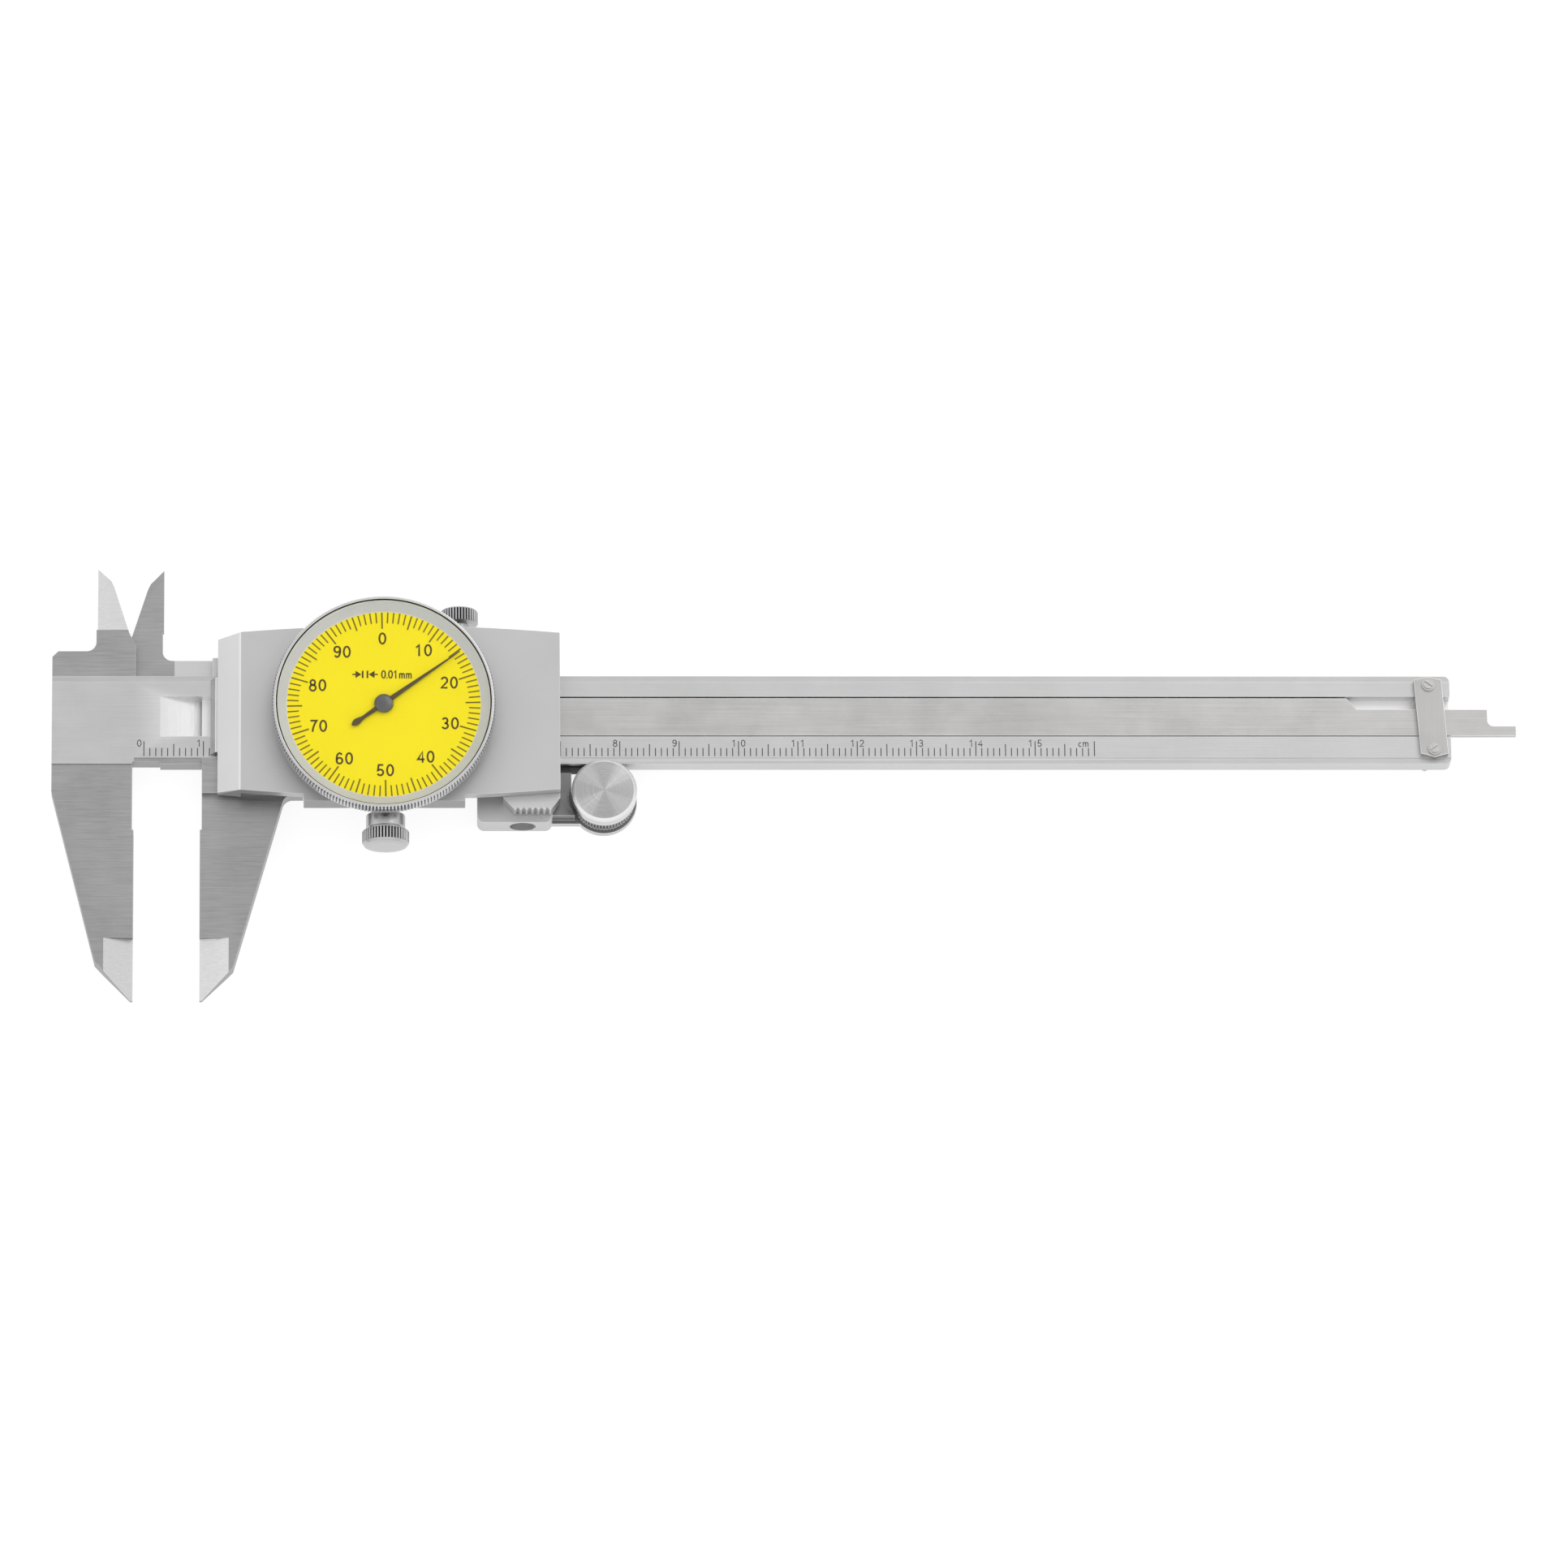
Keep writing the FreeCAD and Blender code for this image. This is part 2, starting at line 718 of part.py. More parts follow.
def make_main_beam():
    """Hardened beam in one piece with the fixed outside jaw and the fixed inside jaw."""
    body = new_body("main_beam")
    left = -s.beam_start
    bar = rectangle(body, "bar", left, -half_beam, s.beam_end, half_beam, beam_back)
    pad(body, bar, s.beam_thick)
    round_corners(
        body, "end_corners", [(s.beam_end, -half_beam), (s.beam_end, half_beam)], s.beam_corner
    )
    jaw = polygon(
        body,
        "outside_jaw",
        [
            (left, 0),
            (left, -s.jaw_straight),
            (-s.jaw_neck, -s.jaw_taper_end),
            (-s.tip_flat, -s.jaw_tip),
            (0, -s.jaw_tip),
            (0, -s.jaw_relief_end),
            (-s.jaw_relief, -s.jaw_relief_end),
            (-s.jaw_relief, 0),
        ],
        beam_back,
    )
    pad(body, jaw, s.beam_thick - s.jaw_drop)
    edge = -s.inside_edge
    block = polygon(
        body,
        "inside_jaw",
        [
            (left, 0),
            (left, s.inside_block - s.block_chamfer),
            (left + s.block_chamfer, s.inside_block),
            (edge - s.inside_relief, s.inside_block),
            (edge - s.inside_relief, s.inside_land),
            (edge, s.inside_land),
            (edge, s.inside_tip),
            (edge + s.inside_tip_width, s.inside_tip - s.inside_tip_drop),
            (edge + s.inside_shoulder, s.inside_tip - s.inside_shoulder_drop),
            (edge + s.inside_neck, s.inside_neck_height),
            (edge + s.inside_root, s.inside_root_height),
            (edge + s.inside_root, 0),
        ],
        middle + s.split_gap,
    )
    pad(body, block, jaw_front - middle - s.split_gap)
    foot = (edge - s.inside_relief, s.inside_block)
    round_corners(body, "inside_jaw_foot", [foot], s.inside_foot_round)
    reach = s.jaw_tip - s.knife_start + 1
    width, cut = s.knife_width, s.knife_cut
    knife(body, "front_knife", as_size(0), -1, width, jaw_front, -cut, -s.jaw_tip - 1, reach)
    knife(body, "back_knife", as_size(0), -1, width, beam_back, cut, -s.jaw_tip - 1, reach)
    reach = s.inside_tip - s.inside_land + 1
    width, cut = s.inside_knife_width, s.inside_knife_cut
    knife(body, "inside_knife", edge, 1, width, jaw_front, -cut, s.inside_land, reach)
    over = s.beam_end + 1
    top_band = rectangle(
        body, "top_band", left - 1, half_beam - s.band_width, over, half_beam + 0.01, front
    )
    pocket(body, top_band, s.band_drop)
    bottom_band = rectangle(
        body, "bottom_band", 0, -half_beam - 0.01, over, s.band_width - half_beam, front
    )
    pocket(body, bottom_band, s.band_drop)
    notch = rectangle(
        body,
        "notch",
        -s.jaw_relief,
        -half_beam - 0.1,
        s.channel_start,
        s.notch_depth - half_beam,
        front,
    )
    pocket(body, notch, s.beam_thick)
    floor = front - s.channel_depth
    flat_start = s.channel_start + s.channel_ramp
    channel = rectangle(body, "channel", flat_start, -s.channel_bottom, over, s.channel_top, front)
    pocket(body, channel, s.channel_depth)
    ramp = polygon(
        body,
        "ramp",
        [(s.channel_start, front), (flat_start, floor), (flat_start + 0.5, floor), (flat_start + 0.5, front)],
        s.channel_bottom,
        "XZ",
    )
    pocket(body, ramp, s.channel_bottom + s.channel_top)
    holes = [(x, rack_screw_y, s.screw_shank) for x in rack_screw_places]
    pocket(body, small_holes(body, "rack_screw_holes", holes, floor), s.rack_screw_extra)
    holes = [
        (plate_centre, s.plate_screw_top, s.screw_shank),
        (plate_centre, -s.plate_screw_bottom, s.screw_shank),
    ]
    pocket(body, small_holes(body, "plate_screw_holes", holes, front), s.plate_screw_grip)
    pin = small_holes(
        body, "stop_pin_hole", [(s.stop_pin_place, -s.stop_pin_height, s.stop_pin_round)], beam_back
    )
    pocket(body, pin, s.beam_thick / 2, reverse=True)
    place(body, shift_x, shift_y, 0)


def make_gear_rack():
    """Rack under the depth rod, whose gaps stand where the pinion's teeth are at this opening."""
    pitch = s.rack_pitch.value
    module = pitch / math.pi
    first = math.ceil((s.rack_start - rack_centre).value / pitch)
    last = math.floor((s.rack_end - rack_centre).value / pitch) - 1
    tip, root = pitch_line.value - ADDENDUM * module, pitch_line.value + DEDENDUM * module
    outline = [(s.rack_start.value, rack_back.value), (s.rack_start.value, root)]
    for number in range(first, last + 1):
        centre = rack_centre.value + (number + 0.5) * pitch
        outline += [
            (centre - CREST * pitch, tip),
            (centre + CREST * pitch, tip),
            (centre + pitch / 2, root),
        ]
    outline += [(s.rack_end.value, root), (s.rack_end.value, rack_back.value)]
    corners = [FreeCAD.Vector(x, y, rack_floor.value) for x, y in outline]
    face = Part.Face(Part.makePolygon(corners + corners[:1]))
    rack = face.extrude(FreeCAD.Vector(0, 0, s.rack_height.value))
    rack_top = rack_floor + s.rack_height
    for x in rack_screw_places:
        drill = rod(s.screw_shank, rack_floor, rack_top, hole=True)
        drill = drill.fuse(rod(s.rack_screw_head, rack_screw_seat, rack_top, hole=True))
        drill.translate(FreeCAD.Vector(x.value, rack_screw_y.value, 0))
        rack = rack.cut(drill)
    shape_piece("gear_rack", rack, shift_x, shift_y, 0)
    # the narrow heads are sunk in the rack
    places = [(x, rack_screw_y) for x in rack_screw_places]
    screws("rack_screws", places, rack_screw_seat, rack_screw_shank, s.rack_screw_head, x=shift_x)


def make_depth_rod():
    """Flat rod in the channel, with a shoulder, a waist and a notched tip; its root seats on the web."""
    body = new_body("depth_rod")
    low = s.rod_clear - s.channel_bottom
    high = s.channel_top - s.rod_clear
    nose = s.rod_tip - s.rod_nose
    outline = polygon(
        body,
        "rod_outline",
        [
            (s.rod_start, low),
            (s.rod_tip, low),
            (s.rod_tip, s.rod_nose_height),
            (nose, s.rod_nose_height),
            (nose, s.rod_waist),
            (s.rod_shoulder + s.rod_shoulder_slant, s.rod_waist),
            (s.rod_shoulder, high),
            (s.rod_start, high),
        ],
        rod_top - s.rod_thick,
    )
    pad(body, outline, s.rod_thick)
    round_corners(body, "nose_round", [(nose, s.rod_nose_height)], s.rod_nose_round)
    root = rectangle(body, "root_pad", s.rod_start, low, s.rod_start + s.rod_pad, high, rod_top)
    pad(body, root, web_low - rod_top)
    holes = [(x, rod_screw_y, s.screw_shank) for x in rod_screw_places]
    pocket(body, small_holes(body, "rod_screw_holes", holes, web_low), s.rod_thick + s.rod_sink)
    place(body, slider_x, shift_y, 0)
    places = [(x, rod_screw_y) for x in rod_screw_places]
    screws("rod_screws", places, rod_screw_seat, rod_screw_seat - web_low + s.rod_thick)


def make_end_plate():
    """Keeper plate that holds the rod in the channel, with crowned ends."""
    body = new_body("end_plate")
    x0, x1 = s.plate_start, s.plate_start + s.plate_width
    outline = polygon(
        body,
        "plate_outline",
        [
            (x0, s.plate_crown - s.plate_bottom),
            (plate_centre, -s.plate_bottom),
            (x1, s.plate_crown - s.plate_bottom),
            (x1, s.plate_top - s.plate_crown),
            (plate_centre, s.plate_top),
            (x0, s.plate_top - s.plate_crown),
        ],
        front,
    )
    pad(body, outline, s.plate_thick)
    holes = [
        (plate_centre, s.plate_screw_top, s.screw_shank),
        (plate_centre, -s.plate_screw_bottom, s.screw_shank),
    ]
    pocket(body, small_holes(body, "plate_holes", holes, front + s.plate_thick), s.plate_thick)
    place(body, shift_x, shift_y, 0)
    places = [(plate_centre, s.plate_screw_top), (plate_centre, -s.plate_screw_bottom)]
    screws("end_plate_screws", places, front + s.plate_thick, plate_screw_length, x=shift_x)


def make_rod_stop_pin():
    """Riveted pin whose head stands under the beam and stops the slider at its end."""
    head = rod(s.stop_pin_head, -s.stop_pin_head_high, 0)
    shank = rod(s.stop_pin_round, 0, s.beam_thick / 2)
    x, y = shift_x + s.stop_pin_place, shift_y - s.stop_pin_height
    shape_piece("rod_stop_pin", head.fuse(shank), x, y, beam_back)


def make_slider_frame():
    """Sliding frame with the movable outside jaw, the movable inside jaw and the thumb grip."""
    body = new_body("slider_frame")
    low = s.back_plate_thick
    rail = polygon(
        body,
        "lower_rail",
        [
            (s.jaw_relief, -slot_bottom),
            (s.jaw_relief, -s.jaw_root),
            (s.jaw_root_width, -s.jaw_root),
            (s.jaw_root_width, -s.lower_rail),
            (s.rail_right, -s.lower_rail),
            (s.rail_right, -slot_bottom),
        ],
        low,
    )
    pad(body, rail, rail_front - low)
    jaw = polygon(
        body,
        "moving_jaw",
        [
            (s.jaw_relief, -slot_bottom),
            (s.jaw_relief, -s.jaw_relief_end),
            (0, -s.jaw_relief_end),
            (0, -s.jaw_tip),
            (s.tip_flat, -s.jaw_tip),
            (s.moving_jaw_neck, -s.moving_jaw_taper_end),
            (s.moving_jaw_width, -s.jaw_root),
            (s.moving_jaw_width, -slot_bottom),
        ],
        beam_back,
    )
    pad(body, jaw, s.beam_thick - s.jaw_drop)
    lip = rectangle(
        body, "lower_lip", s.jaw_relief, -s.jaw_root + 1, s.rail_right, -s.lip_edge, web_low
    )
    pad(body, lip, rail_front - web_low)
    web = rectangle(body, "web", s.web_left, -s.jaw_root + 2, s.rail_right, slot_top + 1, web_low)
    pad(body, web, rail_front - web_low)
    upper = rectangle(body, "upper_rail", s.rail_left, slot_top, s.rail_right, s.upper_rail, low)
    pad(body, upper, rail_front - low)
    edge = -s.inside_edge
    upper_start = slot_bottom
    root = edge - s.inside_root
    moving = polygon(
        body,
        "moving_inside_jaw",
        [
            (root, upper_start),
            (root, s.inside_root_height),
            (edge - s.inside_neck, s.inside_neck_height),
            (edge - s.inside_shoulder, s.inside_tip - s.inside_shoulder_drop),
            (edge - s.inside_tip_width, s.inside_tip - s.inside_tip_drop),
            (edge, s.inside_tip),
            (edge, s.inside_land),
            (edge - s.inside_relief, s.inside_land),
            (edge - s.inside_relief, s.upper_rail_left),
            (s.inside_arm_right, s.upper_rail_left),
            (s.inside_arm_right, upper_start),
        ],
        beam_back,
    )
    pad(body, moving, middle - s.split_gap - beam_back)
    foot = (edge - s.inside_relief, s.upper_rail_left)
    round_corners(body, "moving_jaw_foot", [foot], s.inside_foot_round)
    wing = rectangle(
        body, "wing", s.wing_left, upper_start, s.inside_arm_right, s.upper_rail_left, beam_back
    )
    pad(body, wing, jaw_front - beam_back)
    grip_root = rectangle(
        body, "grip_root", s.grip_left, -s.grip_side, s.rail_right, 1 - s.lower_rail, front - s.grip_low
    )
    pad(body, grip_root, s.rail_high + s.grip_low)
    grip_top = -s.cover_foot - s.lock_clear
    grip = polygon(
        body,
        "grip",
        [
            (s.grip_left, grip_top),
            (s.grip_left, -s.grip_side),
            (s.grip_flat_left, -s.grip_bottom),
            (s.grip_flat_right, -s.grip_bottom),
            (s.rail_right, -s.grip_side),
            (s.rail_right, grip_top),
        ],
        front - s.grip_low,
    )
    pad(body, grip, s.grip_high + s.grip_low)
    groove_x = s.grip_flat_left + s.groove_pitch / 2
    groove_y = -s.grip_bottom
    groove = polygon(
        body,
        "grip_groove",
        [
            (groove_x - s.groove_pitch * 0.32, groove_y - 0.01),
            (groove_x, groove_y + s.groove_depth),
            (groove_x + s.groove_pitch * 0.32, groove_y - 0.01),
        ],
        front + s.grip_high,
    )
    cut = pocket(body, groove, s.grip_high + s.grip_low)
    pattern = body.newObject("PartDesign::LinearPattern", "grip_grooves")
    pattern.Originals = [cut]
    pattern.Direction = (groove, ["H_Axis"])
    span = s.groove_pitch * (s.groove_count - 1) - s.groove_pitch * 0.7
    pattern.Length = span.value
    bind(pattern, "Length", span)
    pattern.Occurrences = int(s.groove_count.value)
    bind(pattern, "Occurrences", s.groove_count)
    body.Tip = pattern
    round_corners(
        body, "jaw_root_round", [(s.moving_jaw_width, -s.jaw_root)], s.jaw_fillet
    )
    reach = s.jaw_tip - s.knife_start + 1
    width, deep = s.knife_width, s.knife_cut
    knife(body, "front_knife", as_size(0), 1, width, jaw_front, -deep, -s.jaw_tip - 1, reach)
    knife(body, "back_knife", as_size(0), 1, width, beam_back, deep, -s.jaw_tip - 1, reach)
    reach = s.inside_tip - s.inside_land + 1
    width, deep = s.inside_knife_width, s.inside_knife_cut
    knife(body, "inside_knife", edge, -1, width, beam_back, deep, s.inside_land, reach)
    window = small_holes(
        body,
        "pinion_window",
        [(wheel_place, 0, s.web_window), (s.dial_place, 0, s.web_window / 2)],
        rail_front,
    )
    pocket(body, window, rail_front - web_low)
    seats = [(x, rod_screw_y, s.screw_head + s.head_room) for x in rod_screw_places]
    pocket(body, small_holes(body, "rod_screw_seats", seats, rail_front), s.screw_head_high)
    holes = [(x, rod_screw_y, s.screw_shank) for x in rod_screw_places]
    pocket(body, small_holes(body, "rod_screw_holes", holes, rod_screw_seat), rod_screw_seat - web_low)
    holes = [(x, y, s.screw_shank) for x, y in base_screw_places]
    pocket(body, small_holes(body, "base_screw_holes", holes, rail_front), rail_front - web_low)
    holes = [(x, y, s.screw_shank) for x, y in back_screw_places]
    pocket(body, small_holes(body, "back_screw_holes", holes, low), s.back_screw_grip, reverse=True)
    across = [(x, middle, s.gib_screw_round) for x in gib_screw_places]
    across.append((s.slide_lock_place, middle, s.lock_shank + s.pivot_clear))
    cross = small_holes(body, "cross_holes", across, -s.upper_rail - 1, "XZ")
    pocket(body, cross, s.upper_rail + 1 - slot_top, reverse=True)
    place(body, slider_x, shift_y, 0)


def make_back_plate():
    """Rear cover of the slider, which is what the caliper rests on."""
    body = new_body("back_plate")
    left, right = s.rail_left, s.rail_right
    outline = polygon(
        body,
        "plate_outline",
        [
            (left, -s.lower_rail),
            (right, -s.lower_rail),
            (right, s.upper_rail),
            (left, s.upper_rail),
        ],
    )
    pad(body, outline, s.back_plate_thick)
    corners = [(x, y) for x in (left, right) for y in (-s.lower_rail, s.upper_rail)]
    round_corners(body, "plate_corners", corners, s.beam_corner)
    seats = [(x, y, s.screw_head + s.head_room) for x, y in back_screw_places]
    pocket(body, small_holes(body, "screw_seats", seats, 0), back_screw_seat, reverse=True)
    holes = [(x, y, s.screw_shank) for x, y in back_screw_places]
    pocket(body, small_holes(body, "screw_holes", holes, s.back_plate_thick), s.back_plate_thick)
    place(body, slider_x, shift_y, 0)
    length = s.back_plate_thick + s.back_screw_grip - back_screw_seat
    screws("back_plate_screws", back_screw_places, back_screw_seat, length, face_down=True)


def make_gib():
    """Brass strip between the beam's top edge and the rail, pressed by two headless screws."""
    body = new_body("gib_strip")
    low = beam_back + s.jaw_drop
    strip = rectangle(
        body,
        "strip",
        s.gib_start,
        half_beam + s.slide_clear / 2,
        s.gib_start + s.gib_length,
        slot_top - s.slide_clear / 2,
        low,
    )
    pad(body, strip, front - s.jaw_drop - low)
    place(body, slider_x, shift_y, 0)
    made = []
    for x in gib_screw_places:
        screw = rod(s.gib_screw_round, slot_top, s.upper_rail)
        screw.rotate(FreeCAD.Vector(0, 0, 0), FreeCAD.Vector(1, 0, 0), -90)
        screw.translate(FreeCAD.Vector(x.value, 0, middle.value))
        made.append(screw)
    shape_piece("gib_screws", Part.makeCompound(made), slider_x, shift_y, 0)


def make_movement_base():
    """Base plate of the movement; its left lip hangs to the beam and is the reading edge."""
    body = new_body("movement_base")
    plate = rectangle(
        body, "plate", s.base_left, -s.base_bottom, s.base_right, s.base_top, rail_front
    )
    pad(body, plate, s.base_thick)
    lip_low = front + s.base_lip_gap
    lip = rectangle(
        body, "lip", s.base_left, -s.base_bottom, s.base_left + s.base_lip, s.base_top, lip_low
    )
    pad(body, lip, rail_front - lip_low)
    bevel = polygon(
        body,
        "reading_bevel",
        [
            (s.base_left, lip_low + s.base_bevel_edge),
            (s.base_left + s.base_bevel_width, base_high),
            (s.base_left - s.base_bevel_width, base_high),
            (s.base_left - s.base_bevel_width, lip_low + s.base_bevel_edge),
        ],
        s.base_top,
        "XZ",
    )
    pocket(body, bevel, 2 * s.base_top)
    holes = [(x, y, s.lower_jewel_round) for x, y in arbor_places]
    pocket(body, small_holes(body, "bush_holes", holes, base_high), s.base_thick)
    holes = [(x, y, s.screw_shank) for x, y in base_screw_places]
    pocket(body, small_holes(body, "screw_holes", holes, base_high), s.base_thick)
    place(body, slider_x, shift_y, 0)
    screws("base_screws", base_screw_places, base_high, base_high - web_low)


def bowed_outline(body, name, level):
    """The cover's outline: straight ends and two long sides that bow out from the ridge's half width."""
    sketch = new_sketch(body, name, "XY", level)
    left, right = s.cover_ridge, s.rail_right
    half_left, half_right = s.cover_half_ridge, s.cover_half_ridge - s.cover_taper
    corners = [(left, -half_left), (right, -half_right), (right, half_right), (left, half_left)]
    spots = [FreeCAD.Vector(x.value, y.value, 0) for x, y in corners]
    low = FreeCAD.Vector(s.cover_bow_place.value, -cover_middle.value, 0)
    high = FreeCAD.Vector(s.cover_bow_place.value, cover_middle.value, 0)
    sketch.addGeometry(
        [
            Part.Arc(spots[0], low, spots[1]),
            Part.LineSegment(spots[1], spots[2]),
            Part.Arc(spots[2], high, spots[3]),
            Part.LineSegment(spots[3], spots[0]),
        ],
        False,
    )
    for number, (x, y) in enumerate(corners):
        sketch.addConstraint(Sketcher.Constraint("Coincident", number, 2, (number + 1) % 4, 1))
        tie_point(sketch, number, 1, x, y)
    for geometry, middle_y in ((0, -cover_middle), (2, cover_middle)):
        crown = FreeCAD.Vector(s.cover_bow_place.value, middle_y.value, 0)
        point = sketch.addGeometry(Part.Point(crown), True)
        tie_point(sketch, point, 1, s.cover_bow_place, middle_y)
        sketch.addConstraint(Sketcher.Constraint("PointOnObject", point, 1, geometry))
    return sketch


def make_housing_cover():
    """Satin cover: bowed sides, a sloped left end, a lug for the bezel's lock and a round bore."""
    body = new_body("housing_cover")
    high, rim, low = s.cover_high, s.cover_rim, s.rail_high
    pad(body, bowed_outline(body, "cap", rim), high - rim)
    left_end = polygon(
        body,
        "left_end",
        [
            (s.cover_left, -s.cover_half_left),
            (s.cover_ridge, -s.cover_half_ridge),
            (s.cover_ridge, s.cover_half_ridge),
            (s.cover_left, s.cover_half_left),
        ],
        low,
    )
    pad(body, left_end, high - low)
    foot = rectangle(body, "foot", s.cover_left, -s.cover_foot, s.rail_right, s.cover_foot, low)
    pad(body, foot, rim - low)
    lug = rectangle(body, "lug", s.lug_left, -s.lug_bottom, s.lug_right, -s.cover_foot, low)
    pad(body, lug, high - low)
    slope = polygon(
        body,
        "left_slope",
        [
            (s.cover_left - 1, low),
            (s.cover_left, low),
            (s.cover_ridge, high),
            (s.cover_ridge, high + 1),
            (s.cover_left - 1, high + 1),
        ],
        cover_middle,
        "XZ",
    )
    pocket(body, slope, 2 * cover_middle)
    wall = s.cover_wall
    hollow = rectangle(
        body,
        "hollow",
        s.cover_ridge,
        wall - s.cover_foot,
        s.rail_right - wall,
        s.cover_foot - wall,
        low,
    )
    pocket(body, hollow, high - low - s.cover_top, reverse=True)
    base_side = s.base_top + s.cover_base_room
    base_room = rectangle(
        body, "base_room", s.cover_left, -base_side, s.cover_ridge, base_side, low
    )
    pocket(body, base_room, s.base_thick + s.lock_clear, reverse=True)
    room = circles(body, "case_room", [(s.dial_place, 0, s.case_room)], low)
    pocket(body, room, high - low - s.cover_top, reverse=True)
    bore = circles(body, "bore", [(s.dial_place, 0, s.cover_bore)], high)
    pocket(body, bore, s.cover_top)
    holes = [(x, y, s.screw_shank) for x, y in cover_screw_places]
    pocket(body, small_holes(body, "screw_holes", holes, high), high - low)
    seats = [(x, y, s.screw_head + s.head_room) for x, y in cover_screw_places]
    pocket(body, small_holes(body, "screw_seats", seats, high), s.screw_head_high + s.head_room)
    lock = small_holes(
        body,
        "lock_hole",
        [(s.bezel_lock_place, s.bezel_lock_level, s.lock_shank + s.pivot_clear)],
        s.lug_bottom + 1,
        "XZ",
    )
    pocket(body, lock, s.lug_bottom + 1 - s.cover_bore)
    place(body, slider_x, shift_y, front)
    seat = s.cover_high - s.screw_head_high - s.head_room
    screws("cover_screws", cover_screw_places, seat, seat - s.rail_high, z=front)


def make_movement():
    """Gear train: rack pinion and wheel, centre pinion, take-up wheel and hairspring."""
    pinion_teeth, wheel_teeth = int(s.pinion_teeth.value), int(s.wheel_teeth.value)
    centre_teeth, takeup_teeth = int(s.centre_teeth.value), int(s.takeup_teeth.value)
    module = s.train_module.value
    base_low, base_top = s.rail_high, s.rail_high + s.base_thick
    pivot, arbor_top = s.pivot_round, s.bridge_level - s.end_shake
    # a tooth of the rack pinion points at the rack, and one of its wheel at the centre pinion
    pinion_low = s.lock_clear - s.channel_depth
    pinion_high = s.rack_height - s.channel_depth
    pinion_long = (pinion_high - pinion_low).value
    rack_module = s.rack_pitch.value / math.pi
    pinion = gear(pinion_teeth, rack_module, pinion_long, math.pi / 2, pinion_low.value)
    lengths = [
        rod(s.drive_journal, pinion_high, s.wheel_level),
        rod(s.drive_upper, s.wheel_level, arbor_top),
        rod(pivot, arbor_top, bridge_high - s.end_shake),
    ]
    arbor = pinion.multiFuse(lengths).removeSplitter()
    shape_piece("drive_arbor", arbor, slider_x + wheel_place, shift_y, front)
    level, thick = s.wheel_level.value, s.wheel_thick.value
    wheel = gear(wheel_teeth, module, thick, math.pi, level, s.drive_upper)
    shape_piece("drive_gear", wheel, slider_x + wheel_place, shift_y, front)
    # a gap of the centre pinion faces the drive gear
    turn = math.pi / centre_teeth
    level = (s.wheel_level - s.lock_clear).value
    centre = gear(centre_teeth, module, s.centre_pinion_long.value, turn, level)
    lengths = [
        rod(pivot, base_low + s.lock_clear, base_top),
        rod(s.arbor_round, base_top, arbor_top),
        rod(pivot, arbor_top, s.hand_level),
    ]
    arbor = centre.multiFuse(lengths).removeSplitter()
    shape_piece("centre_arbor", arbor, dial_x, shift_y, front)
    # a gap of the take-up wheel faces a tooth of the centre pinion
    turn = takeup_angle + math.pi + math.pi / takeup_teeth
    level, thick = s.takeup_level.value, s.takeup_thick.value
    takeup = gear(takeup_teeth, module, thick, turn, level, s.arbor_round)
    shape_piece("takeup_gear", takeup, dial_x + takeup_x, shift_y + takeup_y, front)
    lengths = [
        rod(pivot, base_low + s.lock_clear, base_top),
        rod(pivot, arbor_top, bridge_high - s.end_shake),
    ]
    arbor = rod(s.arbor_round, base_top, arbor_top).multiFuse(lengths)
    shape_piece("takeup_arbor", arbor, dial_x + takeup_x, shift_y + takeup_y, front)
    make_hairspring()


def make_hairspring():
    """Flat spiral round the take-up arbor as one thin ribbon, and the stud at its outer end."""
    per_turn = int(s.hairspring_steps.value)
    steps = per_turn * int(s.hairspring_turns.value)
    thick, level = s.hairspring_thick.value, s.hairspring_level.value
    inner, outer = [], []
    for number in range(steps + 1):
        angle = math.pi + 2 * math.pi * number / per_turn
        grown = number / steps * (s.hairspring_end - s.hairspring_start).value
        near = s.hairspring_start.value + grown
        far = near + thick
        inner.append(FreeCAD.Vector(near * math.cos(angle), near * math.sin(angle), level))
        outer.append(FreeCAD.Vector(far * math.cos(angle), far * math.sin(angle), level))
    loop = inner + outer[::-1]
    face = Part.Face(Part.makePolygon(loop + loop[:1]))
    ribbon = face.extrude(FreeCAD.Vector(0, 0, s.hairspring_wide.value))
    shape_piece("hairspring", ribbon, dial_x + takeup_x, shift_y + takeup_y, front)
    stud = rod(s.stud_round, s.hairspring_level, s.bridge_level)
    stud_place = s.hairspring_end + s.hairspring_thick + s.stud_round + s.seat_gap
    shape_piece("spring_stud", stud, dial_x + takeup_x - stud_place, shift_y + takeup_y, front)


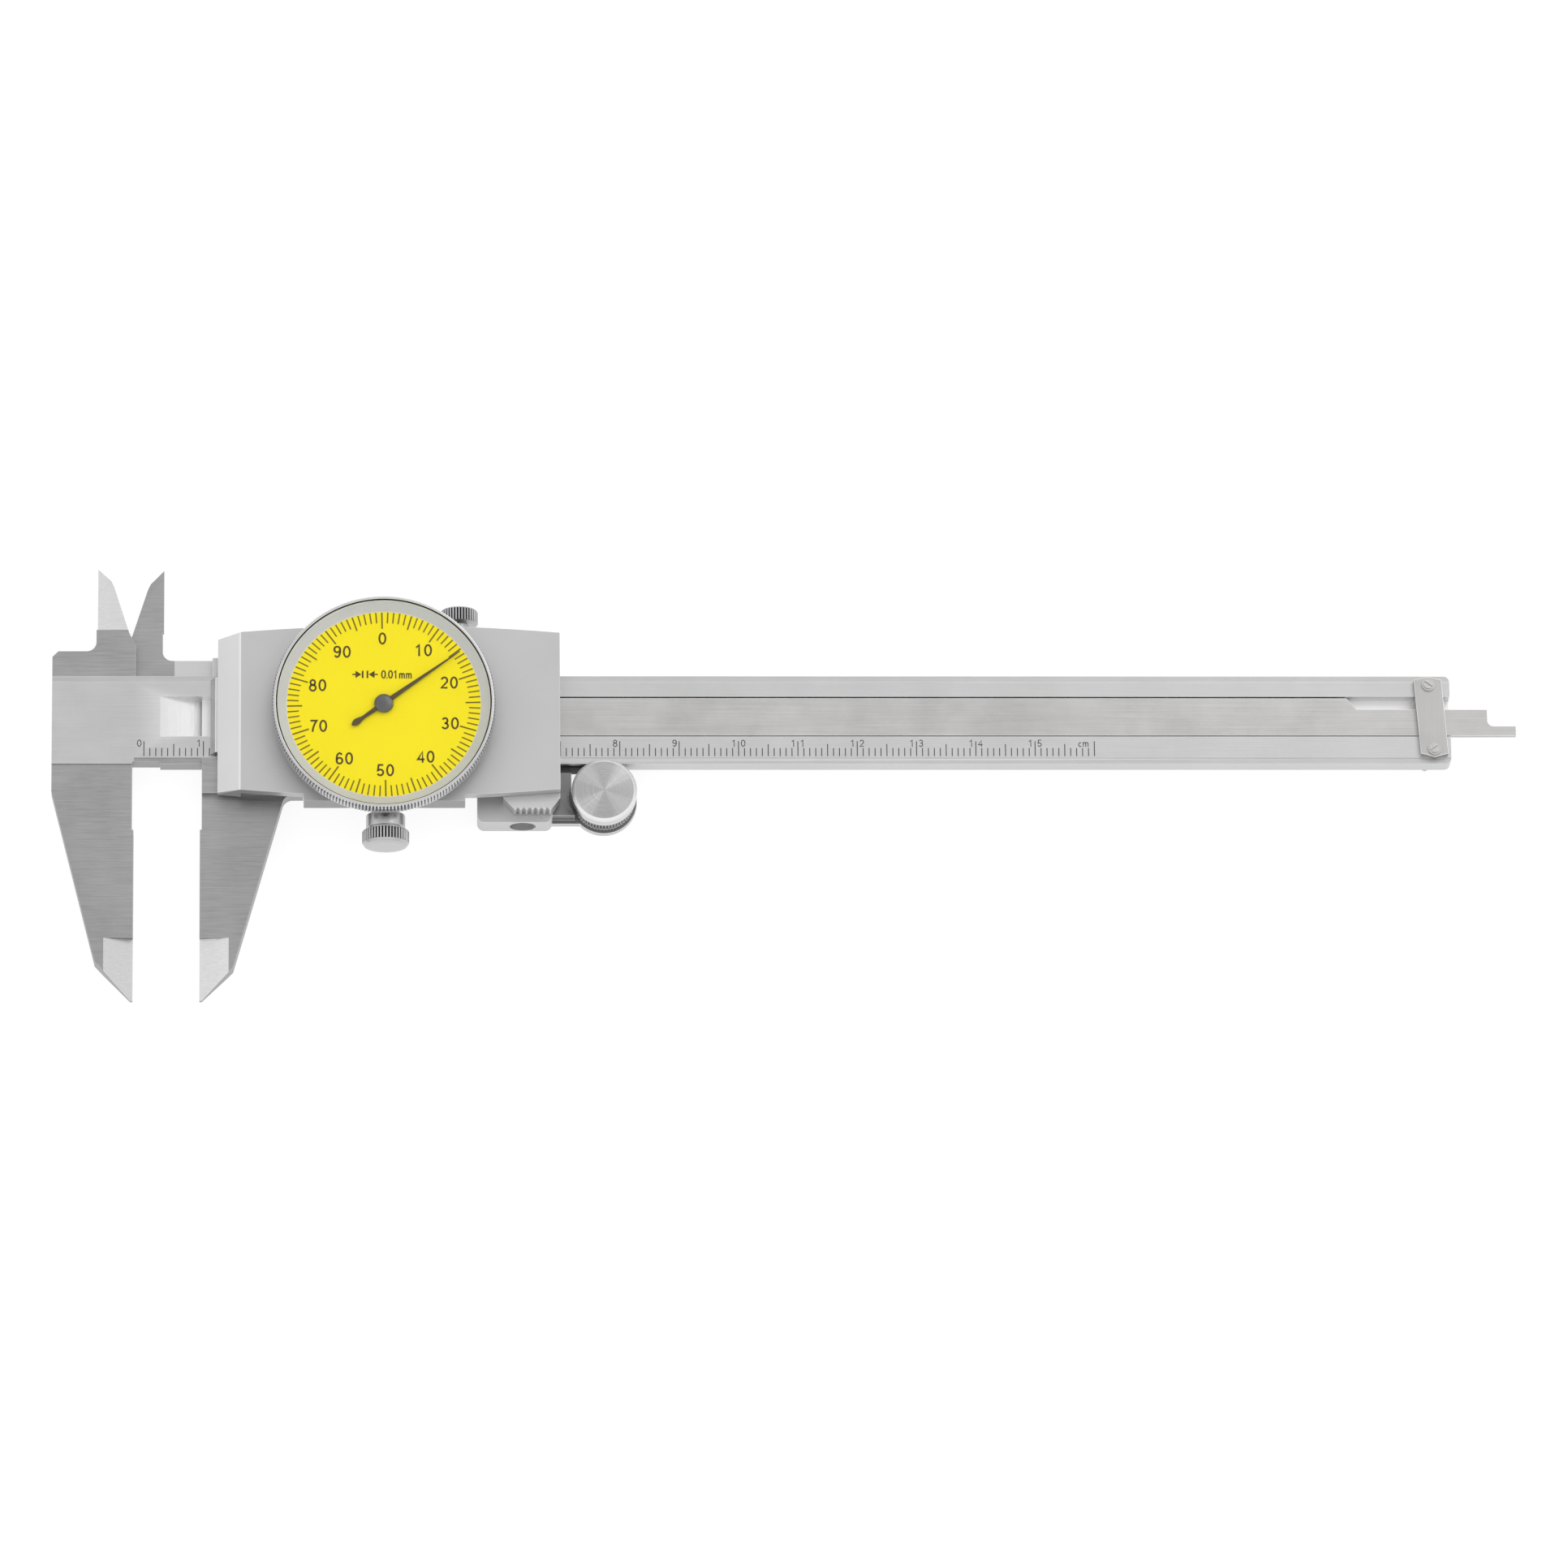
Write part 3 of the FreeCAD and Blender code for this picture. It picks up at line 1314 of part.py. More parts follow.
def make_bridge():
    """Bridge plate over the wheels, on three pillars, with a jewel for each arbor."""
    body = new_body("bridge_plate")
    pad(body, polygon(body, "outline", bridge_outline, s.bridge_level), s.bridge_thick)
    jewels = [(x - s.dial_place, y, s.jewel_round) for x, y in arbor_places]
    pocket(body, small_holes(body, "jewel_holes", jewels, bridge_high), s.bridge_thick)
    holes = [(x, y, s.screw_shank) for x, y in pillars]
    pocket(body, small_holes(body, "screw_holes", holes, bridge_high), s.bridge_thick)
    place(body, dial_x, shift_y, front)
    base = s.rail_high + s.base_thick
    posts = []
    for x, y in pillars:
        post = rod(s.pillar_round, base, s.bridge_level)
        thread = rod(s.screw_shank, s.bridge_level - s.pillar_thread, s.bridge_level, hole=True)
        post = post.cut(thread)
        post.translate(FreeCAD.Vector(x, y, 0))
        posts.append(post)
    shape_piece("bridge_pillars", Part.makeCompound(posts), dial_x, shift_y, front)
    length = s.bridge_thick + s.pillar_thread
    screws("bridge_screws", pillars, bridge_high, length, x=dial_x, z=front)
    bore = s.pivot_round + s.pivot_clear
    lower_bores = [bore, s.drive_journal + s.pivot_clear, bore]
    bushes = []
    for lower_bore, (x, y) in zip(lower_bores, arbor_places):
        spot = FreeCAD.Vector(x.value, y.value, 0)
        lower = rod(s.lower_jewel_round, s.rail_high, base)
        lower = lower.cut(rod(lower_bore, s.rail_high, base, hole=True))
        upper = rod(s.jewel_round, s.bridge_level, bridge_high)
        upper = upper.cut(rod(bore, s.bridge_level, bridge_high, hole=True))
        lower.translate(spot)
        upper.translate(spot)
        bushes += [lower, upper]
    shape_piece("jewel_bearings", Part.makeCompound(bushes), slider_x, shift_y, front)


def make_dial():
    """Everything that turns when the bezel is set, and the hand above it."""
    case = [
        (s.skirt_inner, s.skirt_low),
        (s.skirt_outer, s.skirt_low),
        (s.skirt_outer, s.flange_low),
        (s.case_outer, s.flange_low),
        (s.case_outer, s.dial_level),
        (s.skirt_inner, s.dial_level),
    ]
    ring("dial_case", case, dial_x, shift_y, front)
    body = new_body("retaining_ring")
    flats = small_round(s.keeper_outer, sides=s.keeper_flats)
    pad(body, polygon(body, "keeper_outline", flats, s.keeper_low), s.keeper_thick)
    keeper_high = s.keeper_low + s.keeper_thick
    bore = circles(body, "keeper_bore", [(0, 0, s.skirt_outer + s.press_gap)], keeper_high)
    pocket(body, bore, s.keeper_thick)
    place(body, dial_x, shift_y, front)
    inner = s.case_outer + s.press_gap
    bezel = [
        (inner, s.bezel_low),
        (s.bezel_outer, s.bezel_low),
        (s.bezel_outer, s.bezel_land),
        (s.bezel_lip, s.bezel_high),
        (inner, s.bezel_high),
    ]
    ring("bezel_ring", bezel, dial_x, shift_y, front)
    reflector = [
        (s.dial_round, dial_top),
        (s.case_outer, dial_top),
        (s.case_outer, s.reflector_high),
    ]
    ring("reflector_ring", reflector, dial_x, shift_y, front)
    body = new_body("dial_face")
    disc = circles(body, "dial_disc", [(0, 0, s.dial_edge)], s.dial_level)
    pad(body, disc, s.dial_thick)
    hole = small_holes(body, "hand_hole", [(0, 0, s.dial_hole)], dial_top)
    pocket(body, hole, s.dial_thick)
    place(body, dial_x, shift_y, front)
    body = new_body("crystal")
    disc = circles(body, "crystal_disc", [(0, 0, s.case_outer)], s.reflector_high)
    pad(body, disc, s.crystal_thick)
    place(body, dial_x, shift_y, front)
    make_pointer()


def make_pointer():
    """Long tapered hand with a drop-shaped tail and a round hub, pressed on the centre arbor."""
    body = new_body("pointer")
    tail = -s.hand_tail
    side = [
        (s.tail_neck, tail),
        (s.tail_drop, tail + s.tail_drop_place),
        (s.tail_neck, tail + s.tail_neck_place),
        (s.hand_root, as_size(0)),
        (s.hand_point, s.hand_length),
    ]
    other_side = [(-x, y) for x, y in reversed(side)]
    blade = polygon(body, "blade", side + other_side, s.hand_level)
    pad(body, blade, s.hand_thick)
    hub = small_round(s.hub_round, sides=2 * s.small_sides)
    pad(body, polygon(body, "hub", hub, s.hand_level), s.hub_high - s.hand_level)
    place(body, dial_x, shift_y, front)
    body.Placement.Rotation = FreeCAD.Rotation(FreeCAD.Vector(0, 0, 1), -s.pointer_turn.value)


def lock_screw(name, tip, collar, head, end, collar_round, head_round, way, x, y, z):
    """A lock screw along Y, shank, collar and ribbed head; way is 1 or -1 towards its head."""
    body = new_body(name)
    outward, inward = way > 0, way < 0
    neck = circles(body, "collar", [(0, 0, collar_round)], -way * collar, "XZ")
    pad(body, neck, head - collar, reverse=outward)
    ribbed = small_round(head_round, sides=s.head_ribs)
    pad(body, polygon(body, "head", ribbed, -way * head, "XZ"), end - head, reverse=outward)
    chamfer_rim(body, "head_rim", "y", way * end, s.head_chamfer)
    shank = polygon(body, "shank", small_round(s.lock_shank), -way * collar, "XZ")
    pad(body, shank, collar - tip, reverse=inward)
    place(body, x, y, z)


def make_lock_screws():
    """The bezel's lock screw points up from below the dial, the slider's points down on the gib."""
    lock_screw(
        "bezel_lock_screw",
        s.bezel_lock_tip,
        s.bezel_lock_collar,
        s.bezel_lock_head,
        s.bezel_lock_end,
        s.bezel_lock_collar_round,
        s.bezel_lock_round,
        -1,
        slider_x + s.bezel_lock_place,
        shift_y,
        front + s.bezel_lock_level,
    )
    lock_screw(
        "slide_lock_screw",
        slot_top + s.lock_clear,
        s.slide_lock_collar,
        s.slide_lock_head,
        s.slide_lock_end,
        s.slide_lock_collar_round,
        s.slide_lock_round,
        1,
        slider_x + s.slide_lock_place,
        shift_y,
        middle,
    )


def make_roller():
    """Bracket screwed under the slider, the roller's pin, and the knurled thumb roller."""
    body = new_body("roller_bracket")
    block_front = front - s.bracket_front
    seat = s.lower_rail
    block = rectangle(
        body, "block", s.bracket_left, -s.bracket_bottom, s.bracket_right, -seat, 0
    )
    pad(body, block, block_front)
    corners = [(x, -s.bracket_bottom) for x in (s.bracket_left, s.bracket_right)]
    round_corners(body, "block_corners", corners, s.bracket_corner)
    arm = rectangle(
        body, "arm", s.bracket_right - 1, -s.arm_bottom, s.arm_right, -seat, 0
    )
    pad(body, arm, front - s.arm_front)
    stub = rectangle(
        body, "arm_stub", s.rail_right + s.arm_gap, -seat - 1, s.arm_right - 1, -s.arm_top, 0
    )
    pad(body, stub, front - s.arm_front)
    shoe = circles(body, "shoe", [(s.roller_place, -roller_y, s.shoe_round)], 0)
    pad(body, shoe, s.shoe_thick)
    tongue = rectangle(
        body, "tongue", s.bracket_right - 2, -roller_y - s.shoe_round * 0.7, s.roller_place, -roller_y, 0
    )
    pad(body, tongue, s.shoe_thick)
    clear = circles(
        body, "roller_room", [(s.roller_place, -roller_y, s.roller_round + s.roller_room)], front
    )
    pocket(body, clear, front - s.shoe_thick)
    # the shoe stops short of the beam's edge, where the stop pin's head passes it
    shoe_left, shoe_right = s.roller_place - s.shoe_round, s.roller_place + s.shoe_round
    beam_room = rectangle(
        body, "beam_room", shoe_left, -half_beam - s.beam_room, shoe_right, 1 - half_beam, s.shoe_thick
    )
    pocket(body, beam_room, s.shoe_thick)
    pin = small_holes(body, "pin_hole", [(s.roller_place, -roller_y, s.axle_round)], s.shoe_thick)
    pocket(body, pin, s.shoe_thick)
    bore = circles(
        body,
        "screw_bore",
        [(s.bracket_hole_place, block_front / 2, s.bracket_hole)],
        s.bracket_bottom + 1,
        "XZ",
    )
    pocket(body, bore, s.bracket_hole_deep + 1)
    through = small_holes(
        body,
        "screw_hole",
        [(s.bracket_hole_place, block_front / 2, s.lock_shank)],
        s.bracket_bottom - s.bracket_hole_deep + s.lock_clear,
        "XZ",
    )
    pocket(body, through, s.bracket_bottom - s.bracket_hole_deep - seat + s.lock_clear)
    place(body, slider_x, shift_y, 0)
    body = new_body("bracket_screw")
    start = s.bracket_bottom - s.bracket_hole_deep
    head = small_round(s.bracket_hole - s.lock_clear, sides=2 * s.small_sides)
    pad(body, polygon(body, "screw_head", head, start, "XZ"), s.bracket_screw_head)
    shank = polygon(body, "screw_shank", small_round(s.lock_shank), start, "XZ")
    pad(body, shank, start - seat, reverse=True)
    face = start + s.bracket_screw_head
    socket = small_holes(body, "socket", [(0, 0, s.lock_shank)], face, "XZ")
    pocket(body, socket, s.bracket_socket)
    place(body, slider_x + s.bracket_hole_place, shift_y, block_front / 2)
    x, y = slider_x + s.roller_place, shift_y - roller_y
    low, high = front - s.roller_low, front + s.roller_high
    shape_piece("roller_axle", rod(s.axle_round, 0, high - s.axle_drop), x, y, 0)
    body = new_body("thumb_roller")
    disc = front + s.roller_disc
    drum_outline = small_round(s.roller_drum, sides=s.roller_ribs)
    pad(body, polygon(body, "drum", drum_outline, low), disc - low)
    disc_outline = small_round(s.roller_round, sides=s.roller_ribs)
    pad(body, polygon(body, "disc", disc_outline, disc), high - disc)
    chamfer_rim(body, "disc_rim", "z", high, s.roller_chamfer)
    bore = small_holes(body, "roller_bore", [(0, 0, s.axle_round + s.axle_clear)], low)
    pocket(body, bore, high - s.roller_cap - low, reverse=True)
    place(body, x, y, 0)


def check_pieces():
    """Stop unless every object is sound and every piece has a valid shape."""
    doc.recompute()
    for item in doc.Objects:
        if "Invalid" in item.State or "Error" in item.State:
            raise RuntimeError(f"{item.Name} in {item.Label} failed: {item.State}")
    for item in nodes:
        if item.Shape.isNull() or not item.Shape.isValid() or item.Shape.Volume <= 0:
            raise RuntimeError(f"{item.Label} has no valid shape")


make_main_beam()
make_gear_rack()
make_depth_rod()
make_end_plate()
make_rod_stop_pin()
make_slider_frame()
make_back_plate()
make_gib()
make_movement_base()
make_housing_cover()
make_movement()
make_bridge()
make_dial()
make_lock_screws()
make_roller()
check_pieces()

os.makedirs("parts", exist_ok=True)
for item in nodes:
    item.Shape.exportStep(f"parts/{item.Label}.step")
    print(f"{item.Label}: {len(item.Shape.Solids)} solids, {item.Shape.Volume:.2f} mm3")
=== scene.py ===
"""Looks of a dial caliper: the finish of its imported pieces, and the knurls, print and glass over them.

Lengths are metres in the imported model's own frame: X runs along the beam from the jaws to the rod's
tip, Y towards the inside jaws, and Z up through the dial.
"""
import json
import math

import bmesh
import bpy
import numpy as np
from mathutils import Matrix, Vector

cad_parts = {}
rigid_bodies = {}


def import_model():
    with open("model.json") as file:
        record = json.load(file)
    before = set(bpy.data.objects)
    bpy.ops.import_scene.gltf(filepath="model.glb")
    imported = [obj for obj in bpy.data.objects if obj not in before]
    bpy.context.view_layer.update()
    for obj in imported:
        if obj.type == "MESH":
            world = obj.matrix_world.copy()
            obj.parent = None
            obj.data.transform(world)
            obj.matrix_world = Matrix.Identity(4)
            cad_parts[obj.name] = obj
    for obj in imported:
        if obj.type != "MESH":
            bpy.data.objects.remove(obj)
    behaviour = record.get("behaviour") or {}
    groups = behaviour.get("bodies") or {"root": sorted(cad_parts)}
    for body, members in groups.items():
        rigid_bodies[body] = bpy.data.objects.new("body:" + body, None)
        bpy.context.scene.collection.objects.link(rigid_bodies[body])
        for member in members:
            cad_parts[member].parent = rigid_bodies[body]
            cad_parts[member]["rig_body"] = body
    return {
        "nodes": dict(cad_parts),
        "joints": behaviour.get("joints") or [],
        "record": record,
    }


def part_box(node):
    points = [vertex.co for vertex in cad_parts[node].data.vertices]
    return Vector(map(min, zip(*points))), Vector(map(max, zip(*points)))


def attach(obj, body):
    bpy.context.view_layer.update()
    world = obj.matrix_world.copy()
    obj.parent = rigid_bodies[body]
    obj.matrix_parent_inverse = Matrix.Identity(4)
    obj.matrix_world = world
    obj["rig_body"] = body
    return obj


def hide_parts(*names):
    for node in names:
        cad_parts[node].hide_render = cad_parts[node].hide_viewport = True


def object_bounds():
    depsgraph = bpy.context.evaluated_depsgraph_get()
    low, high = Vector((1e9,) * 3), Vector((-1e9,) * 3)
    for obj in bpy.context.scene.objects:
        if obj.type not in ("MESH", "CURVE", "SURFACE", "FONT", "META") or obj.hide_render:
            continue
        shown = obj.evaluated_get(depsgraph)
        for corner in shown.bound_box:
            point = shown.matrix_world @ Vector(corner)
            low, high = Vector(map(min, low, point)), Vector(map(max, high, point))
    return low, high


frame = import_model()
cad_low, cad_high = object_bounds()

MM = 0.001
mounts = {mount["name"]: mount["pos_m"] for mount in frame["record"]["mounts"]}
joints = {joint["name"]: joint for joint in frame["joints"]}

# the fixed measuring face, the beam's middle line and its front, from which the scale is set out
zero_x = mounts["fixed_jaw_face"][0]
slider_x = mounts["movable_jaw_face"][0]
beam_low, beam_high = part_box("main_beam")
dial_x, dial_y = joints["bezel_turn"]["pos_m"][:2]
beam_y = dial_y
beam_front = beam_high.z
# half the bar's width, which its box can't give because of the jaws
beam_half = 7.75 * MM


def ring_sizes(node):
    """Outer radius, lowest and highest level of a turned piece that stands along Z."""
    low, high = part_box(node)
    return (high.x - low.x) / 2, low.z, high.z


# Shader node groups

def new_group(name, inputs, outputs):
    """An empty node group with named float or vector sockets, and its two end nodes."""
    group = bpy.data.node_groups.new(name, "ShaderNodeTree")
    for label, kind, value in inputs:
        socket = group.interface.new_socket(label, in_out="INPUT", socket_type=kind)
        if value is not None:
            socket.default_value = value
    for label, kind in outputs:
        group.interface.new_socket(label, in_out="OUTPUT", socket_type=kind)
    start = group.nodes.new("NodeGroupInput")
    end = group.nodes.new("NodeGroupOutput")
    return group, start, end


def feed(tree, node, sources):
    """Gives a node's inputs, in their order, sockets or plain values, and returns the node."""
    for socket, source in zip(node.inputs, sources):
        if isinstance(source, bpy.types.NodeSocket):
            tree.links.new(source, socket)
        else:
            socket.default_value = source
    return node


def math_node(tree, operation, *sources):
    """Result of a Math node whose inputs are sockets or plain numbers."""
    node = tree.nodes.new("ShaderNodeMath")
    node.operation = operation
    return feed(tree, node, sources).outputs[0]


def vector_node(tree, operation, *sources, output="Vector"):
    """Result of a Vector Math node whose inputs are sockets or plain triples."""
    node = tree.nodes.new("ShaderNodeVectorMath")
    node.operation = operation
    return feed(tree, node, sources).outputs[output]


def noise_node(tree, vector, scale, detail, roughness=0.5):
    node = tree.nodes.new("ShaderNodeTexNoise")
    node.inputs["Scale"].default_value = scale
    node.inputs["Detail"].default_value = detail
    node.inputs["Roughness"].default_value = roughness
    tree.links.new(vector, node.inputs["Vector"])
    return node.outputs[0]


def make_ground_lines():
    """Fine parallel grinding lines: noise squeezed across the stroke and drawn out along it.

    Stroke is the number of waves per metre along each axis, so the lines run where it is small.
    """
    group, start, end = new_group(
        "ground_lines",
        [("Vector", "NodeSocketVector", None), ("Stroke", "NodeSocketVector", (60, 9000, 9000))],
        [("Lines", "NodeSocketFloat"), ("Haze", "NodeSocketFloat")],
    )
    scaled = vector_node(group, "MULTIPLY", start.outputs["Vector"], start.outputs["Stroke"])
    lines = noise_node(group, scaled, 1.0, 3.0, 0.7)
    group.links.new(lines, end.inputs["Lines"])
    haze = noise_node(group, start.outputs["Vector"], 120.0, 3.0, 0.6)
    group.links.new(haze, end.inputs["Haze"])
    return group


def make_turned_lines():
    """Turning marks: noise over the distance from a Z axis through the vector's origin."""
    group, start, end = new_group(
        "turned_lines",
        [("Vector", "NodeSocketVector", None), ("Waves", "NodeSocketFloat", 9000.0)],
        [("Lines", "NodeSocketFloat"), ("Haze", "NodeSocketFloat")],
    )
    flat = vector_node(group, "MULTIPLY", start.outputs["Vector"], (1, 1, 0))
    length = vector_node(group, "LENGTH", flat, output="Value")
    scaled = math_node(group, "MULTIPLY", length, start.outputs["Waves"])
    noise = group.nodes.new("ShaderNodeTexNoise")
    noise.noise_dimensions = "1D"
    noise.inputs["Scale"].default_value = 1.0
    noise.inputs["Detail"].default_value = 3.0
    group.links.new(scaled, noise.inputs["W"])
    group.links.new(noise.outputs[0], end.inputs["Lines"])
    haze = noise_node(group, start.outputs["Vector"], 150.0, 3.0, 0.6)
    group.links.new(haze, end.inputs["Haze"])
    return group


def make_blasted():
    """Fine even grain of a blasted or cast skin, with a slow cloud over it."""
    group, start, end = new_group(
        "blasted",
        [("Vector", "NodeSocketVector", None), ("Grain", "NodeSocketFloat", 9000.0)],
        [("Lines", "NodeSocketFloat"), ("Haze", "NodeSocketFloat")],
    )
    noise = group.nodes.new("ShaderNodeTexNoise")
    noise.inputs["Detail"].default_value = 2.0
    group.links.new(start.outputs["Vector"], noise.inputs["Vector"])
    group.links.new(start.outputs["Grain"], noise.inputs["Scale"])
    group.links.new(noise.outputs[0], end.inputs["Lines"])
    haze = noise_node(group, start.outputs["Vector"], 60.0, 3.0, 0.55)
    group.links.new(haze, end.inputs["Haze"])
    return group


def make_rubbed_edges():
    """Mask of convex edges for a painted edge highlight, from how a rounded normal leaves the true one."""
    group, start, end = new_group(
        "painted_edge_highlight",
        [("Width", "NodeSocketFloat", 0.00025)],
        [("Mask", "NodeSocketFloat")],
    )
    bevel = group.nodes.new("ShaderNodeBevel")
    bevel.samples = 4
    group.links.new(start.outputs["Width"], bevel.inputs["Radius"])
    geometry = group.nodes.new("ShaderNodeNewGeometry")
    dot = vector_node(group, "DOT_PRODUCT", bevel.outputs[0], geometry.outputs["Normal"], output="Value")
    away = math_node(group, "SUBTRACT", 1.0, dot)
    mask = group.nodes.new("ShaderNodeMath")
    mask.operation = "MULTIPLY"
    mask.use_clamp = True
    mask.inputs[1].default_value = 6.0
    group.links.new(away, mask.inputs[0])
    group.links.new(mask.outputs[0], end.inputs["Mask"])
    return group


def make_fan():
    """Painted sheen of a faced disc, standing in for its reflection: four soft sectors about a Z axis, bright
    on the diagonals, with fine rays.
    """
    group, start, end = new_group(
        "painted_fan_sheen",
        [("Vector", "NodeSocketVector", None), ("Sectors", "NodeSocketFloat", 4.0)],
        [("Fan", "NodeSocketFloat")],
    )
    parts = group.nodes.new("ShaderNodeSeparateXYZ")
    group.links.new(start.outputs["Vector"], parts.inputs[0])
    angle = math_node(group, "ARCTAN2", parts.outputs["Y"], parts.outputs["X"])
    wave = math_node(group, "COSINE", math_node(group, "MULTIPLY", angle, start.outputs["Sectors"]))
    rays = group.nodes.new("ShaderNodeTexNoise")
    rays.noise_dimensions = "1D"
    rays.inputs["Scale"].default_value = 9.0
    rays.inputs["Detail"].default_value = 3.0
    group.links.new(angle, rays.inputs["W"])
    soft = math_node(group, "MULTIPLY", wave, -0.5)
    fan = math_node(group, "ADD", soft, rays.outputs[0])
    group.links.new(fan, end.inputs["Fan"])
    return group


GROUPS = {
    "ground": make_ground_lines(),
    "fan": make_fan(),
    "turned": make_turned_lines(),
    "blasted": make_blasted(),
    "edges": make_rubbed_edges(),
}


# Materials

MATERIALS = {}


def new_material(name):
    """The tree and Principled shader of a new material, kept under its name for the pieces to take."""
    material = MATERIALS[name] = bpy.data.materials.new(name)
    material.use_nodes = True
    material.node_tree.nodes.clear()
    shader = material.node_tree.nodes.new("ShaderNodeBsdfPrincipled")
    output = material.node_tree.nodes.new("ShaderNodeOutputMaterial")
    material.node_tree.links.new(shader.outputs[0], output.inputs["Surface"])
    return material.node_tree, shader


def object_vector(tree, centre=(0, 0, 0)):
    """Object coordinates measured from a chosen point."""
    coordinates = tree.nodes.new("ShaderNodeTexCoord")
    mapping = tree.nodes.new("ShaderNodeMapping")
    mapping.inputs["Location"].default_value = [-value for value in centre]
    tree.links.new(coordinates.outputs["Object"], mapping.inputs["Vector"])
    return mapping.outputs[0]


def placed_group(tree, name, *sources):
    """One of the node groups in a material, with its inputs in their order."""
    node = tree.nodes.new("ShaderNodeGroup")
    node.node_tree = GROUPS[name]
    return feed(tree, node, sources)


def blend_shaders(tree, factor, first, second):
    """Brings a mix of two shaders by a factor socket to the material's output."""
    mix = tree.nodes.new("ShaderNodeMixShader")
    feed(tree, mix, (factor, first.outputs[0], second.outputs[0]))
    output = next(node for node in tree.nodes if node.type == "OUTPUT_MATERIAL")
    tree.links.new(mix.outputs[0], output.inputs["Surface"])


def mix_colour(tree, factor, low, high):
    """Colour between two fixed colours or sockets by a factor socket."""
    mix = tree.nodes.new("ShaderNodeMix")
    mix.data_type = "RGBA"
    tree.links.new(factor, mix.inputs["Factor"])
    for socket, source in ((mix.inputs["A"], low), (mix.inputs["B"], high)):
        if isinstance(source, (tuple, list)):
            socket.default_value = (*source[:3], 1.0)
        else:
            tree.links.new(source, socket)
    return mix.outputs["Result"]


def spread(tree, factor, low, high):
    """The middle stretch of a noise, where most of its values lie, spread over the range from low to high."""
    span = tree.nodes.new("ShaderNodeMapRange")
    span.inputs["From Min"].default_value = 0.3
    span.inputs["From Max"].default_value = 0.7
    span.inputs["To Min"].default_value = low
    span.inputs["To Max"].default_value = high
    tree.links.new(factor, span.inputs["Value"])
    return span.outputs[0]


def grey(level, warm=0.0):
    """A near-neutral metal colour; warm shifts it from blue towards yellow."""
    return (level * (1 + warm), level, level * (1 - warm))


def steel(name, level, roughness, kind="ground", stroke=(60, 9000, 9000), waves=9000.0, centre=(0, 0, 0),
          contrast=0.06, bump=0.02, edge=0.12, warm=0.0, metallic=1.0, haze=0.04, grooves=0.0, fan=0.0):
    """Metal with its machining marks, a slow haze in colour and roughness, and a painted highlight along its
    edges.

    grooves is how much darker the bottoms of knurled grooves are, as painted shade, and fan how strong the
    painted sheen of a faced disc's sectors.
    """
    tree, shader = new_material(name)
    vector = object_vector(tree, centre)
    marks = placed_group(tree, kind, vector, stroke if kind == "ground" else waves)
    lines, cloud = marks.outputs["Lines"], marks.outputs["Haze"]
    share = math_node(tree, "ADD", spread(tree, lines, 0, contrast), spread(tree, cloud, 0, haze))
    # painted highlight: convex edges lightened in the base colour
    edge_sheen = math_node(tree, "MULTIPLY", placed_group(tree, "edges").outputs["Mask"], edge)
    total = math_node(tree, "ADD", share, edge_sheen)
    dark = grey(level - (contrast + haze) / 2, warm)
    light = grey(min(level - (contrast + haze) / 2 + 1.0, 1.9), warm)
    # painted sheen: sectors of a faced disc lightened and darkened in the base colour
    if fan:
        sheen = placed_group(tree, "fan", vector)
        sectors = math_node(tree, "MULTIPLY", math_node(tree, "SUBTRACT", sheen.outputs["Fan"], 0.5), fan)
        total = math_node(tree, "ADD", total, sectors)
    colour = mix_colour(tree, total, dark, light)
    # painted shade: grooves darkens the bottoms of knurled grooves towards near black
    if grooves:
        depth = tree.nodes.new("ShaderNodeAttribute")
        depth.attribute_name = "groove"
        groove_shade = math_node(tree, "MULTIPLY", depth.outputs["Fac"], grooves)
        colour = mix_colour(tree, groove_shade, colour, grey(0.02))
    tree.links.new(colour, shader.inputs["Base Color"])
    rough = math_node(tree, "ADD", spread(tree, lines, -0.05, 0.05), spread(tree, cloud, -0.03, 0.03))
    tree.links.new(math_node(tree, "ADD", rough, roughness), shader.inputs["Roughness"])
    relief = tree.nodes.new("ShaderNodeBump")
    relief.inputs["Strength"].default_value = 1.0
    relief.inputs["Distance"].default_value = bump * MM
    tree.links.new(lines, relief.inputs["Height"])
    tree.links.new(relief.outputs[0], shader.inputs["Normal"])
    shader.inputs["Metallic"].default_value = metallic


def coated(name, colour, roughness, mottle=0.04, specular=0.5):
    """Paint, print or plastic: one colour with a slight mottle and a fine skin."""
    tree, shader = new_material(name)
    marks = placed_group(tree, "blasted", object_vector(tree), 4000.0)
    dark = [value * (1 - mottle) for value in colour]
    light = [min(1.0, value * (1 + mottle)) for value in colour]
    factor = spread(tree, marks.outputs["Haze"], 0.0, 1.0)
    tree.links.new(mix_colour(tree, factor, dark, light), shader.inputs["Base Color"])
    rough = spread(tree, marks.outputs["Lines"], roughness - 0.04, roughness + 0.04)
    tree.links.new(rough, shader.inputs["Roughness"])
    relief = tree.nodes.new("ShaderNodeBump")
    relief.inputs["Distance"].default_value = 0.004 * MM
    tree.links.new(marks.outputs["Lines"], relief.inputs["Height"])
    tree.links.new(relief.outputs[0], shader.inputs["Normal"])
    shader.inputs["Specular IOR Level"].default_value = specular


def clear_glass():
    """Flat crystal: a clear dielectric that lets the light down to the dial without casting a shadow."""
    tree, shader = new_material("crystal_clear")
    vector = object_vector(tree)
    smear = noise_node(tree, vector, 200.0, 3.0)
    tree.links.new(spread(tree, smear, 0.0, 0.02), shader.inputs["Roughness"])
    shader.inputs["Base Color"].default_value = (1, 1, 1, 1)
    shader.inputs["Transmission Weight"].default_value = 1.0
    shader.inputs["IOR"].default_value = 1.2
    clear = tree.nodes.new("ShaderNodeBsdfTransparent")
    path = tree.nodes.new("ShaderNodeLightPath")
    blend_shaders(tree, path.outputs["Is Shadow Ray"], shader, clear)


